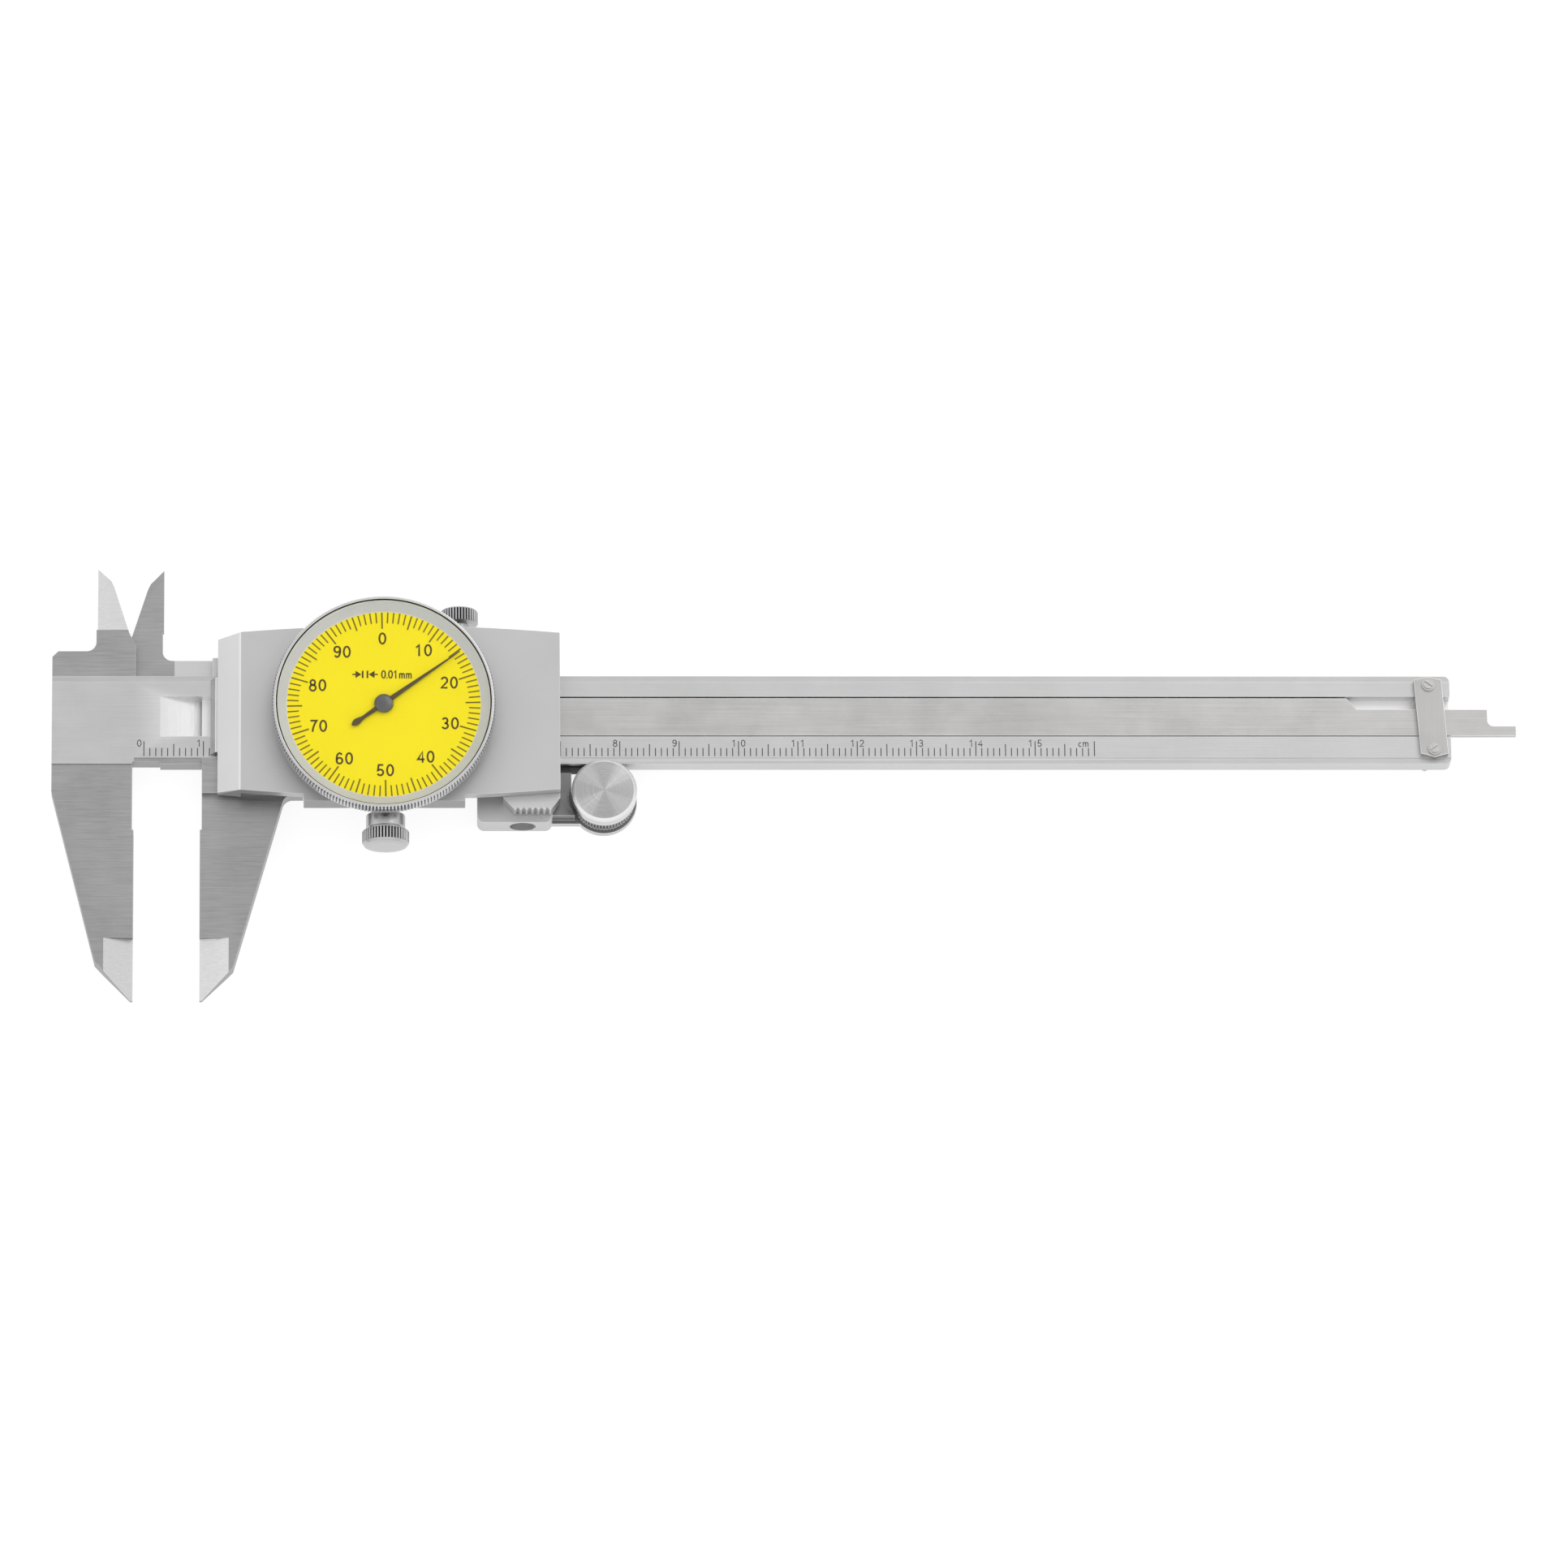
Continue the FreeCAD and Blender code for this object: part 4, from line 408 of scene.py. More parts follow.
ALONG_X = (60, 9000, 9000)
ALONG_Y = (9000, 60, 9000)
JAW_STROKE = (150, 4500, 4500)
dial_centre = (dial_x, dial_y, 0)
roller_centre = (*joints["roller_spin"]["pos_m"][:2], 0)

steel("beam_steel", 0.55, 0.36, stroke=ALONG_X, contrast=0.05)
steel("beam_side", 0.6, 0.36, stroke=ALONG_X, contrast=0.06)
steel("band_steel", 0.51, 0.36, stroke=ALONG_X, contrast=0.05)
# the channel's floor and walls are painted light, to cancel the shade they lie in
steel("channel_lightened_steel", 0.9, 0.4, stroke=ALONG_X, contrast=0.05)
# the ramp is ground across the bar, and painted lighter for the light its slope catches
steel("ramp_lit_steel", 0.62, 0.3, stroke=ALONG_Y, contrast=0.05)
# jaw steel: darker as the brushed jaws are, and also painted as shade on the beam's lower edge between the
# jaws and on the frame left of the cover
steel("jaw_and_shade_steel", 0.36, 0.44, stroke=JAW_STROKE, contrast=0.09, haze=0.05)
# the two knife tips are shaded and lit copies of one steel, standing in for the light on them: the fixed one
# painted darker, the moving one lighter
steel("knife_shade_steel", 0.52, 0.4, stroke=JAW_STROKE, contrast=0.1)
steel("tip_lit_steel", 0.76, 0.4, stroke=JAW_STROKE, contrast=0.1)
steel("blade_steel", 0.7, 0.4, stroke=JAW_STROKE, contrast=0.1)
# painted highlight for rounded corners and chamfers
steel("bevel_highlight", 0.86, 0.25, stroke=ALONG_X, contrast=0.04, edge=0.0)
steel("frame_steel", 0.6, 0.38, stroke=ALONG_X, contrast=0.05)
# painted shade on the front face of the dial's lug
steel("lug_shade_steel", 0.34, 0.45, kind="blasted", waves=7000.0, contrast=0.03)
steel("cover_satin", 0.55, 0.5, kind="blasted", waves=7000.0, contrast=0.03, bump=0.012)
# the cover's left facet painted lighter, for the light its slope catches
steel("facet_lit_satin", 0.74, 0.5, kind="blasted", waves=7000.0, contrast=0.03, bump=0.012)
steel("rod_steel", 0.49, 0.34, stroke=ALONG_X, contrast=0.1, haze=0.08, warm=0.01)
steel("plate_steel", 0.47, 0.42, stroke=ALONG_Y, contrast=0.06, haze=0.06, warm=0.015)
steel("base_steel", 0.62, 0.4, stroke=ALONG_X, contrast=0.05)
steel("rack_steel", 0.5, 0.35, stroke=ALONG_Y, contrast=0.05)
steel("bracket_steel", 0.6, 0.5, kind="blasted", waves=7000.0, contrast=0.03)
# painted shade on the bracket's arm
steel("arm_shade_steel", 0.26, 0.5, kind="blasted", waves=7000.0, contrast=0.03)
# painted black shadow in the recess beside the beam
steel("recess_shadow_black", 0.06, 0.6, kind="blasted", waves=7000.0, contrast=0.02, edge=0.0)
steel("brass", 0.5, 0.35, stroke=ALONG_X, warm=0.3)
steel("spring_steel", 0.2, 0.3, warm=-0.3)
coated("ruby", (0.5, 0.01, 0.04), 0.15)
steel("case_steel", 0.5, 0.4, kind="turned", centre=dial_centre)
# the bezel's rib grooves are darkened as painted shade (grooves)
steel("bezel_chrome", 0.62, 0.24, kind="turned", centre=dial_centre, contrast=0.04,
      edge=0.2, grooves=0.9)
steel("bezel_gap", 0.05, 0.5, kind="turned", centre=dial_centre, edge=0.0)
steel("reflector_grey", 0.66, 0.5, kind="turned", centre=dial_centre, warm=-0.03,
      contrast=0.02, metallic=0.3)
coated("dial_yellow", (0.99, 0.82, 0.004), 0.55, mottle=0.01, specular=0.15)
coated("print_black", (0.08, 0.055, 0.015), 0.6, specular=0.2)
coated("tick_ink", (0.2, 0.15, 0.01), 0.6, specular=0.2)
coated("hand_black", (0.085, 0.058, 0.018), 0.5, specular=0.3)
steel("hub_grey", 0.13, 0.25, kind="turned", centre=dial_centre, contrast=0.03)
coated("scale_ink", (0.07, 0.07, 0.07), 0.6, specular=0.2)
clear_glass()
# the knobs' rib grooves are darkened as painted shade (grooves)
steel("knob_chrome", 0.5, 0.26, kind="blasted", waves=5000.0, contrast=0.04, grooves=1.0)
steel("knob_dark", 0.45, 0.28, kind="blasted", waves=5000.0, contrast=0.04, grooves=1.0)
# the roller's face has a painted sheen of sectors (fan), and its drum painted shade in its grooves
steel("roller_face", 0.45, 0.3, kind="turned", centre=roller_centre, waves=14000.0,
      contrast=0.05, bump=0.03, fan=0.16)
steel("roller_side", 0.62, 0.3, kind="turned", centre=roller_centre, contrast=0.04,
      grooves=0.8)
steel("screw_steel", 0.5, 0.3, kind="blasted", waves=5000.0)

# The nodes that show as they are, under the finish that each gets
NODE_FINISH = {
    "ruby": ["jewel_bearings"],
    "base_steel": ["bridge_plate", "bridge_pillars"],
    "rack_steel": ["gear_rack", "drive_arbor", "centre_arbor", "takeup_arbor", "roller_axle", "rod_stop_pin",
                   "spring_stud"],
    "brass": ["gib_strip", "drive_gear", "takeup_gear"],
    "spring_steel": ["hairspring"],
    "case_steel": ["dial_case", "retaining_ring"],
    "reflector_grey": ["reflector_ring"],
    "dial_yellow": ["dial_face"],
    "crystal_clear": ["crystal"],
    "screw_steel": ["rack_screws", "gib_screws", "base_screws", "cover_screws", "rod_screws",
                    "bridge_screws", "bracket_screw"],
}


# Meshes

def new_object(name, data):
    """An object for a mesh, lamp or camera, linked to the scene."""
    made = bpy.data.objects.new(name, data)
    bpy.context.scene.collection.objects.link(made)
    return made


def add_piece(name, vertices, faces, body, materials, indices=None, smooth=30.0, close=True,
              groove=None):
    """A new mesh piece at the origin that rides on a body; close merges seams and poles first.

    groove is each vertex's share of the way down a knurled groove, for the materials to read.
    """
    mesh = bpy.data.meshes.new(name)
    mesh.from_pydata([tuple(v) for v in np.asarray(vertices)], [], [tuple(f) for f in faces])
    for material in materials:
        mesh.materials.append(MATERIALS[material])
    if indices is not None:
        mesh.polygons.foreach_set("material_index", np.asarray(indices, np.int32))
    if groove is not None:
        mesh.attributes.new("groove", "FLOAT", "POINT").data.foreach_set("value", groove)
    if close:
        work = bmesh.new()
        work.from_mesh(mesh)
        bmesh.ops.remove_doubles(work, verts=work.verts, dist=1e-7)
        bmesh.ops.recalc_face_normals(work, faces=work.faces)
        work.to_mesh(mesh)
        work.free()
    mesh.polygons.foreach_set("use_smooth", np.ones(len(mesh.polygons), bool))
    mesh.set_sharp_from_angle(angle=math.radians(smooth))
    piece = new_object(name, mesh)
    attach(piece, body)
    return piece


def grid_faces(rows, columns):
    """Quads of a grid that closes round its columns: row r, column c is vertex r * columns + c."""
    r, c = np.meshgrid(np.arange(rows - 1), np.arange(columns), indexing="ij")
    ahead = (c + 1) % columns
    quads = np.stack([r * columns + c, r * columns + ahead, (r + 1) * columns + ahead, (r + 1) * columns + c])
    return quads.reshape(4, -1).T


def turned(name, profile, steps, body, materials, rib_rows=(), ribs=0, rib_depth=0.0,
           centre=(0, 0, 0), along="Z", indices=None, smooth=30.0):
    """A profile of radius and height turned about an axis, with ribs on some of its rows.

    A point of row i at angle t lies at radius r_i - depth_i * (1 - |sin(ribs * t / 2)|), so that there are
    ribs crests round the turn; depth_i is rib_depth on ribbed rows, else 0.
    """
    profile = np.asarray(profile, float)
    angle = np.arange(steps) / steps * 2 * math.pi
    wave = np.abs(np.sin(angle * ribs / 2))
    depth = np.zeros(len(profile))
    depth[list(rib_rows)] = rib_depth
    radius = profile[:, :1] - depth[:, None] * (1 - wave)[None, :]
    height = np.repeat(profile[:, 1:2], steps, axis=1)
    across, up = radius * np.cos(angle), radius * np.sin(angle)
    if along == "Z":
        points = np.stack([across, up, height], -1)
    else:
        points = np.stack([across, height, up], -1)
    points = points.reshape(-1, 3) + np.asarray(centre)
    faces = grid_faces(len(profile), steps)
    face_index = None if indices is None else np.repeat(indices, steps)
    groove = ((depth > 0)[:, None] * (1 - wave)[None, :]).ravel() if ribs else None
    return add_piece(name, points, faces, body, materials, face_index, smooth, groove=groove)


def fillet_profile(corners, radius, parts=3):
    """A profile with its inner corners rounded.

    Each corner gives the points of a quadratic curve from radius before it to radius after it, or from
    less than half way along a side that is too short for that.
    """
    corners = np.asarray(corners, float)
    points = [corners[0]]
    for before, corner, after in zip(corners[:-2], corners[1:-1], corners[2:]):
        reach_in = min(radius, np.linalg.norm(corner - before) * 0.45)
        reach_out = min(radius, np.linalg.norm(after - corner) * 0.45)
        start = corner + (before - corner) / np.linalg.norm(before - corner) * reach_in
        stop = corner + (after - corner) / np.linalg.norm(after - corner) * reach_out
        for t in np.linspace(0, 1, parts + 1):
            points.append((1 - t) ** 2 * start + 2 * t * (1 - t) * corner + t ** 2 * stop)
    points.append(corners[-1])
    return np.array(points)


def dressed_copy(node, materials, choose=None, bevel=0.1, cuts=()):
    """The node's own solid as one joined mesh with its corners rounded, in place of the bare node.

    choose gives each face its material from arrays of face centres and normals, and cuts are axis and
    place of the planes that part its faces first. The rounded corners get a painted highlight.
    """
    source = frame["nodes"][node]
    work = bmesh.new()
    work.from_mesh(source.data)
    bmesh.ops.remove_doubles(work, verts=work.verts, dist=2e-6)
    bmesh.ops.dissolve_degenerate(work, edges=work.edges, dist=1e-6)
    bmesh.ops.dissolve_limit(work, angle_limit=math.radians(0.6), verts=work.verts, edges=work.edges)
    for axis, place in cuts:
        plane = Vector((0, 0, 0))
        plane[axis] = 1.0
        every = work.verts[:] + work.edges[:] + work.faces[:]
        bmesh.ops.bisect_plane(work, geom=every, plane_co=plane * place, plane_no=plane, dist=1e-6)
    mesh = bpy.data.meshes.new(node + "_finished")
    work.to_mesh(mesh)
    work.free()
    mesh.materials.clear()
    for material in [*materials, "bevel_highlight"]:
        mesh.materials.append(MATERIALS[material])
    count = len(mesh.polygons)
    centres = np.zeros(count * 3)
    normals = np.zeros(count * 3)
    mesh.polygons.foreach_get("center", centres)
    mesh.polygons.foreach_get("normal", normals)
    index = np.zeros(count, np.int32)
    if choose:
        index = choose(centres.reshape(-1, 3), normals.reshape(-1, 3)).astype(np.int32)
    mesh.polygons.foreach_set("material_index", index)
    mesh.polygons.foreach_set("use_smooth", np.ones(count, bool))
    mesh.set_sharp_from_angle(angle=math.radians(12))
    piece = new_object(node + "_finished", mesh)
    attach(piece, source["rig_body"])
    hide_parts(node)
    if bevel:
        rounding = piece.modifiers.new("rounding", "BEVEL")
        rounding.width = bevel * MM
        rounding.segments = 2
        rounding.limit_method = "ANGLE"
        rounding.angle_limit = math.radians(32)
        rounding.harden_normals = True
        # the rounded corners take the painted highlight
        rounding.material = len(materials)
    return piece


def finish_beam():
    """Beam and fixed jaws: ground face and bands on the bar, brushed jaws, bright blade and tip, with painted
    light in the channel and on its ramp, a tip painted darker than the moving jaw's, and painted shade on the
    bar's lower edge between the jaws.
    """
    upper, lower = beam_y + beam_half + 0.01 * MM, beam_y - beam_half - 0.01 * MM
    blade_foot = beam_y + 16.0 * MM
    neck = zero_x + 11.6 * MM
    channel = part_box("depth_rod")

    def choose(centres, normals):
        x, y, z = centres.T
        level = np.abs(normals[:, 2])
        jaw = (y > upper) | (y < lower)
        band = (level > 0.995) & (np.abs(z - beam_front + 0.15 * MM) < 0.02 * MM)
        inside = (y > channel[0].y - 0.3 * MM) & (y < channel[1].y + 0.3 * MM) & (z > beam_low.z + 0.3 * MM)
        index = np.where(level < 0.3, 1, np.where(band, 4, 0))
        # the channel's faces are painted light against their shade
        index = np.where(inside & (z < beam_front - 0.3 * MM), 6, index)
        # sloped faces, as the ramp, painted lighter for the light their slope catches
        index = np.where((level > 0.5) & (level < 0.99), 5, index)
        # painted shade: the bar's lower edge and band between the jaws take the darker jaw steel, which stays
        # there wherever the slider stands
        shaded = (x < neck) & (y < beam_y - 6.5 * MM) & (band | (level < 0.3))
        index = np.where(jaw | shaded, 2, index)
        # the fixed knife tip is painted darker
        tip = jaw & (level > 0.3) & (level < 0.995)
        return np.where(y > blade_foot, 7, np.where(tip, 3, index))

    dressed_copy(
        "main_beam",
        ["beam_steel", "beam_side", "jaw_and_shade_steel", "knife_shade_steel", "band_steel", "ramp_lit_steel", "channel_lightened_steel",
         "blade_steel"],
        choose, 0.1, [(0, zero_x), (0, neck), (1, blade_foot)],
    )


def finish_frame():
    """Slider frame: ground rails and grip, brushed jaws, a tip painted bright as lit, and painted shade on
    its lower part left of the cover.
    """
    upper, lower = beam_y + 7.7 * MM, beam_y - 13.1 * MM
    jaw_right = slider_x + 17.4 * MM
    neck_right = slider_x - 4.4 * MM
    cover_left = slider_x + 2.95 * MM

    def choose(centres, normals):
        x, y, z = centres.T
        level = np.abs(normals[:, 2])
        blade = (y > upper) & (x < neck_right)
        jaw = blade | ((y < lower) & (x < jaw_right))
        # painted shade: the frame's lower part left of the cover takes the darker jaw steel
        shaded = (x < cover_left) & (y < beam_y - 7.0 * MM)
        # the moving knife tip is painted lighter
        tip = jaw & (level > 0.3) & (level < 0.995)
        return np.where(tip, 2, np.where(jaw | shaded, 1, 0))

    dressed_copy(
        "slider_frame", ["frame_steel", "jaw_and_shade_steel", "tip_lit_steel"], choose, 0.1,
        [(0, neck_right), (0, cover_left), (1, lower)],
    )


def finish_cover():
    """Cover: satin top, a sloping facet over the beam's left painted lighter for the light it catches, and
    the front of the dial's lug painted darker as shade.

    A low shoulder raises the facet's lower edge over the movement base, which shows only left of it.
    """
    lug = beam_y - 15.5 * MM

    def choose(centres, normals):
        # the facet is painted lighter and the lug's front darker, for how light falls on them
        facet = (normals[:, 0] < -0.3) & (normals[:, 2] > 0.3)
        front = (centres[:, 1] < lug) & (normals[:, 1] < -0.9)
        return np.where(facet, 1, np.where(front, 2, 0))

    dressed_copy("housing_cover", ["cover_satin", "facet_lit_satin", "lug_shade_steel"], choose, 0.12)
    low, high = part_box("housing_cover")
    left, ridge, foot, top = low.x, low.x + 3.9 * MM, beam_front + 0.85 * MM, high.z
    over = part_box("movement_base")[1].z + 0.06 * MM
    raised = over + 0.08 * MM
    slope = (ridge - left) / (top - foot)
    meeting = left + (over - foot) * slope
    room = 7.2 * MM

    def half(x):
        return (13.5 + 0.4 * (x - left) / (ridge - left)) * MM

    def bar(section, inner, side=1):
        """Corners and faces of a bar over a section in X and Z; inner is None from side to side."""
        outer = [(x, beam_y + side * half(x), z) for x, z in section]
        near = [(x, beam_y + (side * inner if inner else -half(x)), z) for x, z in section]
        count = len(section)
        faces = [tuple(range(count)), tuple(range(count, 2 * count))[::-1]]
        faces += [(i, i + count, (i + 1) % count + count, (i + 1) % count) for i in range(count)]
        return outer + near, [face[::side] for face in faces]

    points, faces = bar([(left, over), (left, raised), (ridge, top), (meeting, over)], None)
    for side in (-1, 1):
        spots, added = bar([(left, foot), (left, over), (meeting, over)], room, side)
        faces += [tuple(i + len(points) for i in face) for face in added]
        points += spots
    add_piece("cover_shoulder", points, faces, "slider", ["facet_lit_satin"], close=False)


def finish_bracket():
    """Roller bracket: a light block and boss, an arm painted darker as shade, and a recess against the beam
    painted black as shadow.
    """
    arm_left = slider_x + 59.2 * MM
    plate_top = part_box("roller_bracket")[0].z + 1.3 * MM
    recess = beam_y - 12.5 * MM

    def choose(centres, normals):
        x, y, z = centres.T
        # the arm is painted as shade and the recess under it black as shadow
        arm = (x > arm_left) & (z > plate_top)
        dark = (x > arm_left) & (z < plate_top) & (y > recess)
        return np.where(dark, 2, np.where(arm, 1, 0))

    dressed_copy(
        "roller_bracket", ["bracket_steel", "arm_shade_steel", "recess_shadow_black"], choose, 0.2,
        [(0, arm_left), (1, recess)],
    )
    # a thin black sheet stands beside the beam as painted shadow, so that no floor shows between beam and
    # bracket
    low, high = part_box("roller_bracket")
    near, far = high.y + 0.01 * MM, beam_y - beam_half - 0.06 * MM
    left, right = arm_left + 0.1 * MM, arm_left + 6.4 * MM
    outline = np.array([(left, near), (right, near), (right, far), (left, far)])
    points, faces = prism(outline, low.z + 0.1 * MM, low.z + 3.7 * MM)
    add_piece("bracket_shadow_sheet", points, faces, "slider", ["recess_shadow_black"], close=False)


def make_bezel():
    """Bezel with fine ribs round its side, a bright chamfer above them and a dark joint round the glass; the
    ribs' grooves are darkened as painted shade.
    """
    outer, low, high = ring_sizes("bezel_ring")
    bore = ring_sizes("crystal")[0] + 0.02 * MM
    land = high - 0.65 * MM
    joint_wide, joint_deep = 0.2 * MM, 0.4 * MM
    corners = [
        (bore, low),
        (outer - 0.15 * MM, low),
        (outer, low + 0.15 * MM),
        (outer, land - 0.1 * MM),
        (outer - 0.12 * MM, land + 0.1 * MM),
        (outer - 0.32 * MM, high),
        (bore + joint_wide + 0.05 * MM, high),
        (bore + joint_wide, high - 0.05 * MM),
        (bore + joint_wide, high - joint_deep),
        (bore, high - joint_deep),
        (bore, low),
    ]
    profile = fillet_profile(corners, 0.06 * MM, 2)
    rows = [i for i, (r, z) in enumerate(profile) if r > outer - 0.2 * MM and z > low + 0.1 * MM]
    in_joint = (profile[:-1, 0] < bore + joint_wide + 0.01 * MM) & (profile[:-1, 1] > low + 0.1 * MM)
    piece = turned(
        "bezel_ring_ribbed", profile, 1200, "bezel", ["bezel_chrome", "bezel_gap"],
        rib_rows=rows, ribs=200, rib_depth=0.24 * MM, centre=dial_centre,
        indices=np.where(in_joint, 1, 0),
    )
    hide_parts("bezel_ring")


def knob(name, node, body, joint, outward, sections, ribs, rib_depth, finish):
    """A knurled lock screw along Y: sections are radius and distance outward from the joint's point.

    Rows whose radius is the largest one are ribbed, eight steps to a rib, and their grooves darkened by the
    finish as painted shade.
    """
    profile = fillet_profile([(r * MM, outward * y * MM) for r, y in sections], 0.12 * MM, 3)
    largest = profile[:, 0].max()
    rows = [i for i, (r, y) in enumerate(profile) if r > largest - 0.05 * MM]
    piece = turned(
        name, profile, ribs * 8, body, [finish], rib_rows=rows, ribs=ribs,
        rib_depth=rib_depth * MM, centre=joints[joint]["pos_m"], along="Y",
    )
    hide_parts(node)


def make_knobs():
    """The two lock screws, each with its collar or neck and its ribbed head."""
    knob(
        "bezel_lock_knurled", "bezel_lock_screw", "bezel_lock", "bezel_lock_turn", -1,
        [(0, -6.05), (1.0, -6.05), (1.0, -2.55), (3.3, -2.55), (3.3, -0.4), (3.05, -0.1),
         (3.05, 0.1), (3.95, 0.3), (3.95, 2.2), (3.55, 2.75), (2.7, 2.9), (0, 2.9)],
        44, 0.32, "knob_chrome",
    )
    knob(
        "slide_lock_knurled", "slide_lock_screw", "slide_lock", "slide_lock_turn", 1,
        [(0, -8.46), (1.0, -8.46), (1.0, -4.45), (1.6, -4.45), (1.6, 0.0), (3.2, 0.2), (3.2, 2.25),
         (2.85, 2.6), (2.3, 2.7), (0, 2.7)],
        38, 0.3, "knob_dark",
    )


def make_roller():
    """Thumb roller: a turned disc with a painted highlight on its chamfer and a painted sheen on its face,
    over a ribbed drum with painted shade in its grooves.
    """
    low, high = (corner.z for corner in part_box("thumb_roller"))
    outer, bore = 5.5 * MM, 1.04 * MM
    drum = outer - 0.3 * MM
    under = beam_front + 0.1 * MM
    cap = high - 0.4 * MM
    corners = [
        (bore, cap), (bore, low), (drum - 0.2 * MM, low), (drum, low + 0.2 * MM), (drum, under),
        (outer - 0.1 * MM, under), (outer, under + 0.1 * MM), (outer, high - 0.5 * MM),
        (outer - 0.5 * MM, high), (0.1 * MM, high), (0, high),
    ]
    profile = fillet_profile(corners, 0.06 * MM, 2)
    rows = [i for i, (r, z) in enumerate(profile) if abs(r - drum) < 0.03 * MM]
    middle = (profile[:-1] + profile[1:]) / 2
    # the chamfer's rows take the painted highlight
    rim = (middle[:, 1] > high - 0.5 * MM) & (middle[:, 1] < high - 0.005 * MM) & (middle[:, 0] > drum)
    faces = np.where(rim, 2, np.where(profile[:-1, 1] > high - 0.01 * MM, 0, 1))
    piece = turned(
        "thumb_roller_ribbed", profile, 480, "roller", ["roller_face", "roller_side", "bevel_highlight"],
        rib_rows=rows, ribs=60, rib_depth=0.25 * MM, centre=roller_centre, indices=faces,
    )
    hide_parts("thumb_roller")


def bars(places, widths, lows, highs):
    """Upright bars as quads in a plane: place, width, lower and upper end of each, as arrays."""
    left, right = places - widths / 2, places + widths / 2
    corners = np.stack(
        [np.stack([left, lows], -1), np.stack([right, lows], -1),
         np.stack([right, highs], -1), np.stack([left, highs], -1)], 1
    )
    faces = np.arange(len(places) * 4).reshape(-1, 4)
    return corners.reshape(-1, 2), faces


def arc(centre_x, centre_y, reach_x, reach_y, start, stop, parts=14):
    """Points of an elliptical arc between two angles in degrees."""
    turn = np.radians(np.linspace(start, stop, parts + 1))
    return np.column_stack([centre_x + reach_x * np.cos(turn), centre_y + reach_y * np.sin(turn)])


def joined(*parts):
    return np.concatenate([np.atleast_2d(np.asarray(part, float)) for part in parts])


# Each sign's middle lines in a cell one unit high, and its width
SIGNS = {
    "0": ([arc(0.31, 0.5, 0.245, 0.435, 90, 450, 32)], 0.62),
    "1": ([joined((0.12, 0.72), (0.36, 0.93), (0.36, 0.0))], 0.62),
    "2": ([joined(arc(0.31, 0.68, 0.235, 0.255, 165, -38), (0.07, 0.065), (0.56, 0.065))], 0.62),
    "3": ([joined(arc(0.29, 0.72, 0.2, 0.215, 160, -75), (0.24, 0.505)),
           joined((0.24, 0.505), arc(0.29, 0.285, 0.235, 0.22, 80, -160))], 0.62),
    "4": ([joined((0.44, 0.0), (0.44, 0.93), (0.05, 0.28), (0.6, 0.28))], 0.62),
    "5": ([joined((0.53, 0.935), (0.16, 0.935), (0.1, 0.48), arc(0.29, 0.31, 0.24, 0.245, 130, -155))], 0.62),
    "6": ([arc(0.31, 0.305, 0.235, 0.24, 0, 360, 28), joined(arc(0.32, 0.46, 0.245, 0.475, 195, 45))], 0.62),
    "7": ([joined((0.05, 0.935), (0.56, 0.935), (0.4, 0.68), (0.28, 0.35), (0.22, 0.0))], 0.62),
    "8": ([arc(0.31, 0.725, 0.19, 0.21, 0, 360, 24), arc(0.31, 0.275, 0.24, 0.24, 0, 360, 28)], 0.62),
    "9": ([arc(0.31, 0.695, 0.235, 0.24, 0, 360, 28), joined(arc(0.3, 0.54, 0.245, 0.475, 15, -135))], 0.62),
    ".": ([joined((0.11, 0.0), (0.11, 0.14))], 0.22),
    "c": ([arc(0.27, 0.31, 0.21, 0.28, 50, 310, 18)], 0.54),
    "m": ([joined((0.07, 0.0), (0.07, 0.64)),
           joined((0.07, 0.42), arc(0.23, 0.44, 0.16, 0.17, 180, 0, 8), (0.39, 0.0)),
           joined((0.39, 0.42), arc(0.55, 0.44, 0.16, 0.17, 180, 0, 8), (0.71, 0.0))], 0.84),
}


def ribbon(path, width):
    """A flat band of even width along a path, mitred at its corners.

    Each side lies half the width from the path, along the sum of the two neighbouring normals.
    """
    closed = np.allclose(path[0], path[-1])
    step = np.diff(path, axis=0)
    normal = np.column_stack([-step[:, 1], step[:, 0]]) / np.linalg.norm(step, axis=1)[:, None]
    before = np.vstack([normal[-1:] if closed else normal[:1], normal])
    after = np.vstack([normal, normal[:1] if closed else normal[-1:]])
    both = before + after
    side = both / np.maximum(1 + np.sum(before * after, axis=1), 0.45)[:, None]
    points = np.concatenate([path + side * width / 2, path - side * width / 2])
    count = len(path)
    row = np.arange(count - 1)
    return points, np.column_stack([row, row + count, row + count + 1, row + 1])


def lettering(words, height, weight, squeeze=1.0, gap=0.08):
    """Signs set side by side as flat bands, centred on the origin; weight is the band's width."""
    points, faces, count, place = [], [], 0, 0.0
    for sign in words:
        lines, wide = SIGNS[sign]
        for line in lines:
            spots, quads = ribbon(((line + (place, 0)) * (squeeze, 1)) * height, weight)
            points.append(spots)
            faces += (quads + count).tolist()
            count += len(spots)
        place += wide + gap
    middle = np.array([(place - gap) * squeeze / 2, 0.5]) * height
    return np.concatenate(points) - middle, faces


class Print:
    """Flat marks gathered into one mesh on a level plane."""

    def __init__(self):
        self.points, self.faces, self.count = [], [], 0

    def add(self, points, faces, shift=(0, 0)):
        points = np.asarray(points) + shift
        self.points.append(points)
        self.faces += [tuple(int(i) + self.count for i in face) for face in faces]
        self.count += len(points)

    def piece(self, name, level, body, material, slot, shift=(0, 0)):
        flat = np.concatenate(self.points) + shift
        spots = np.column_stack([flat, np.full(len(flat), level)])
        return add_piece(name, spots, self.faces, body, [material], close=False)


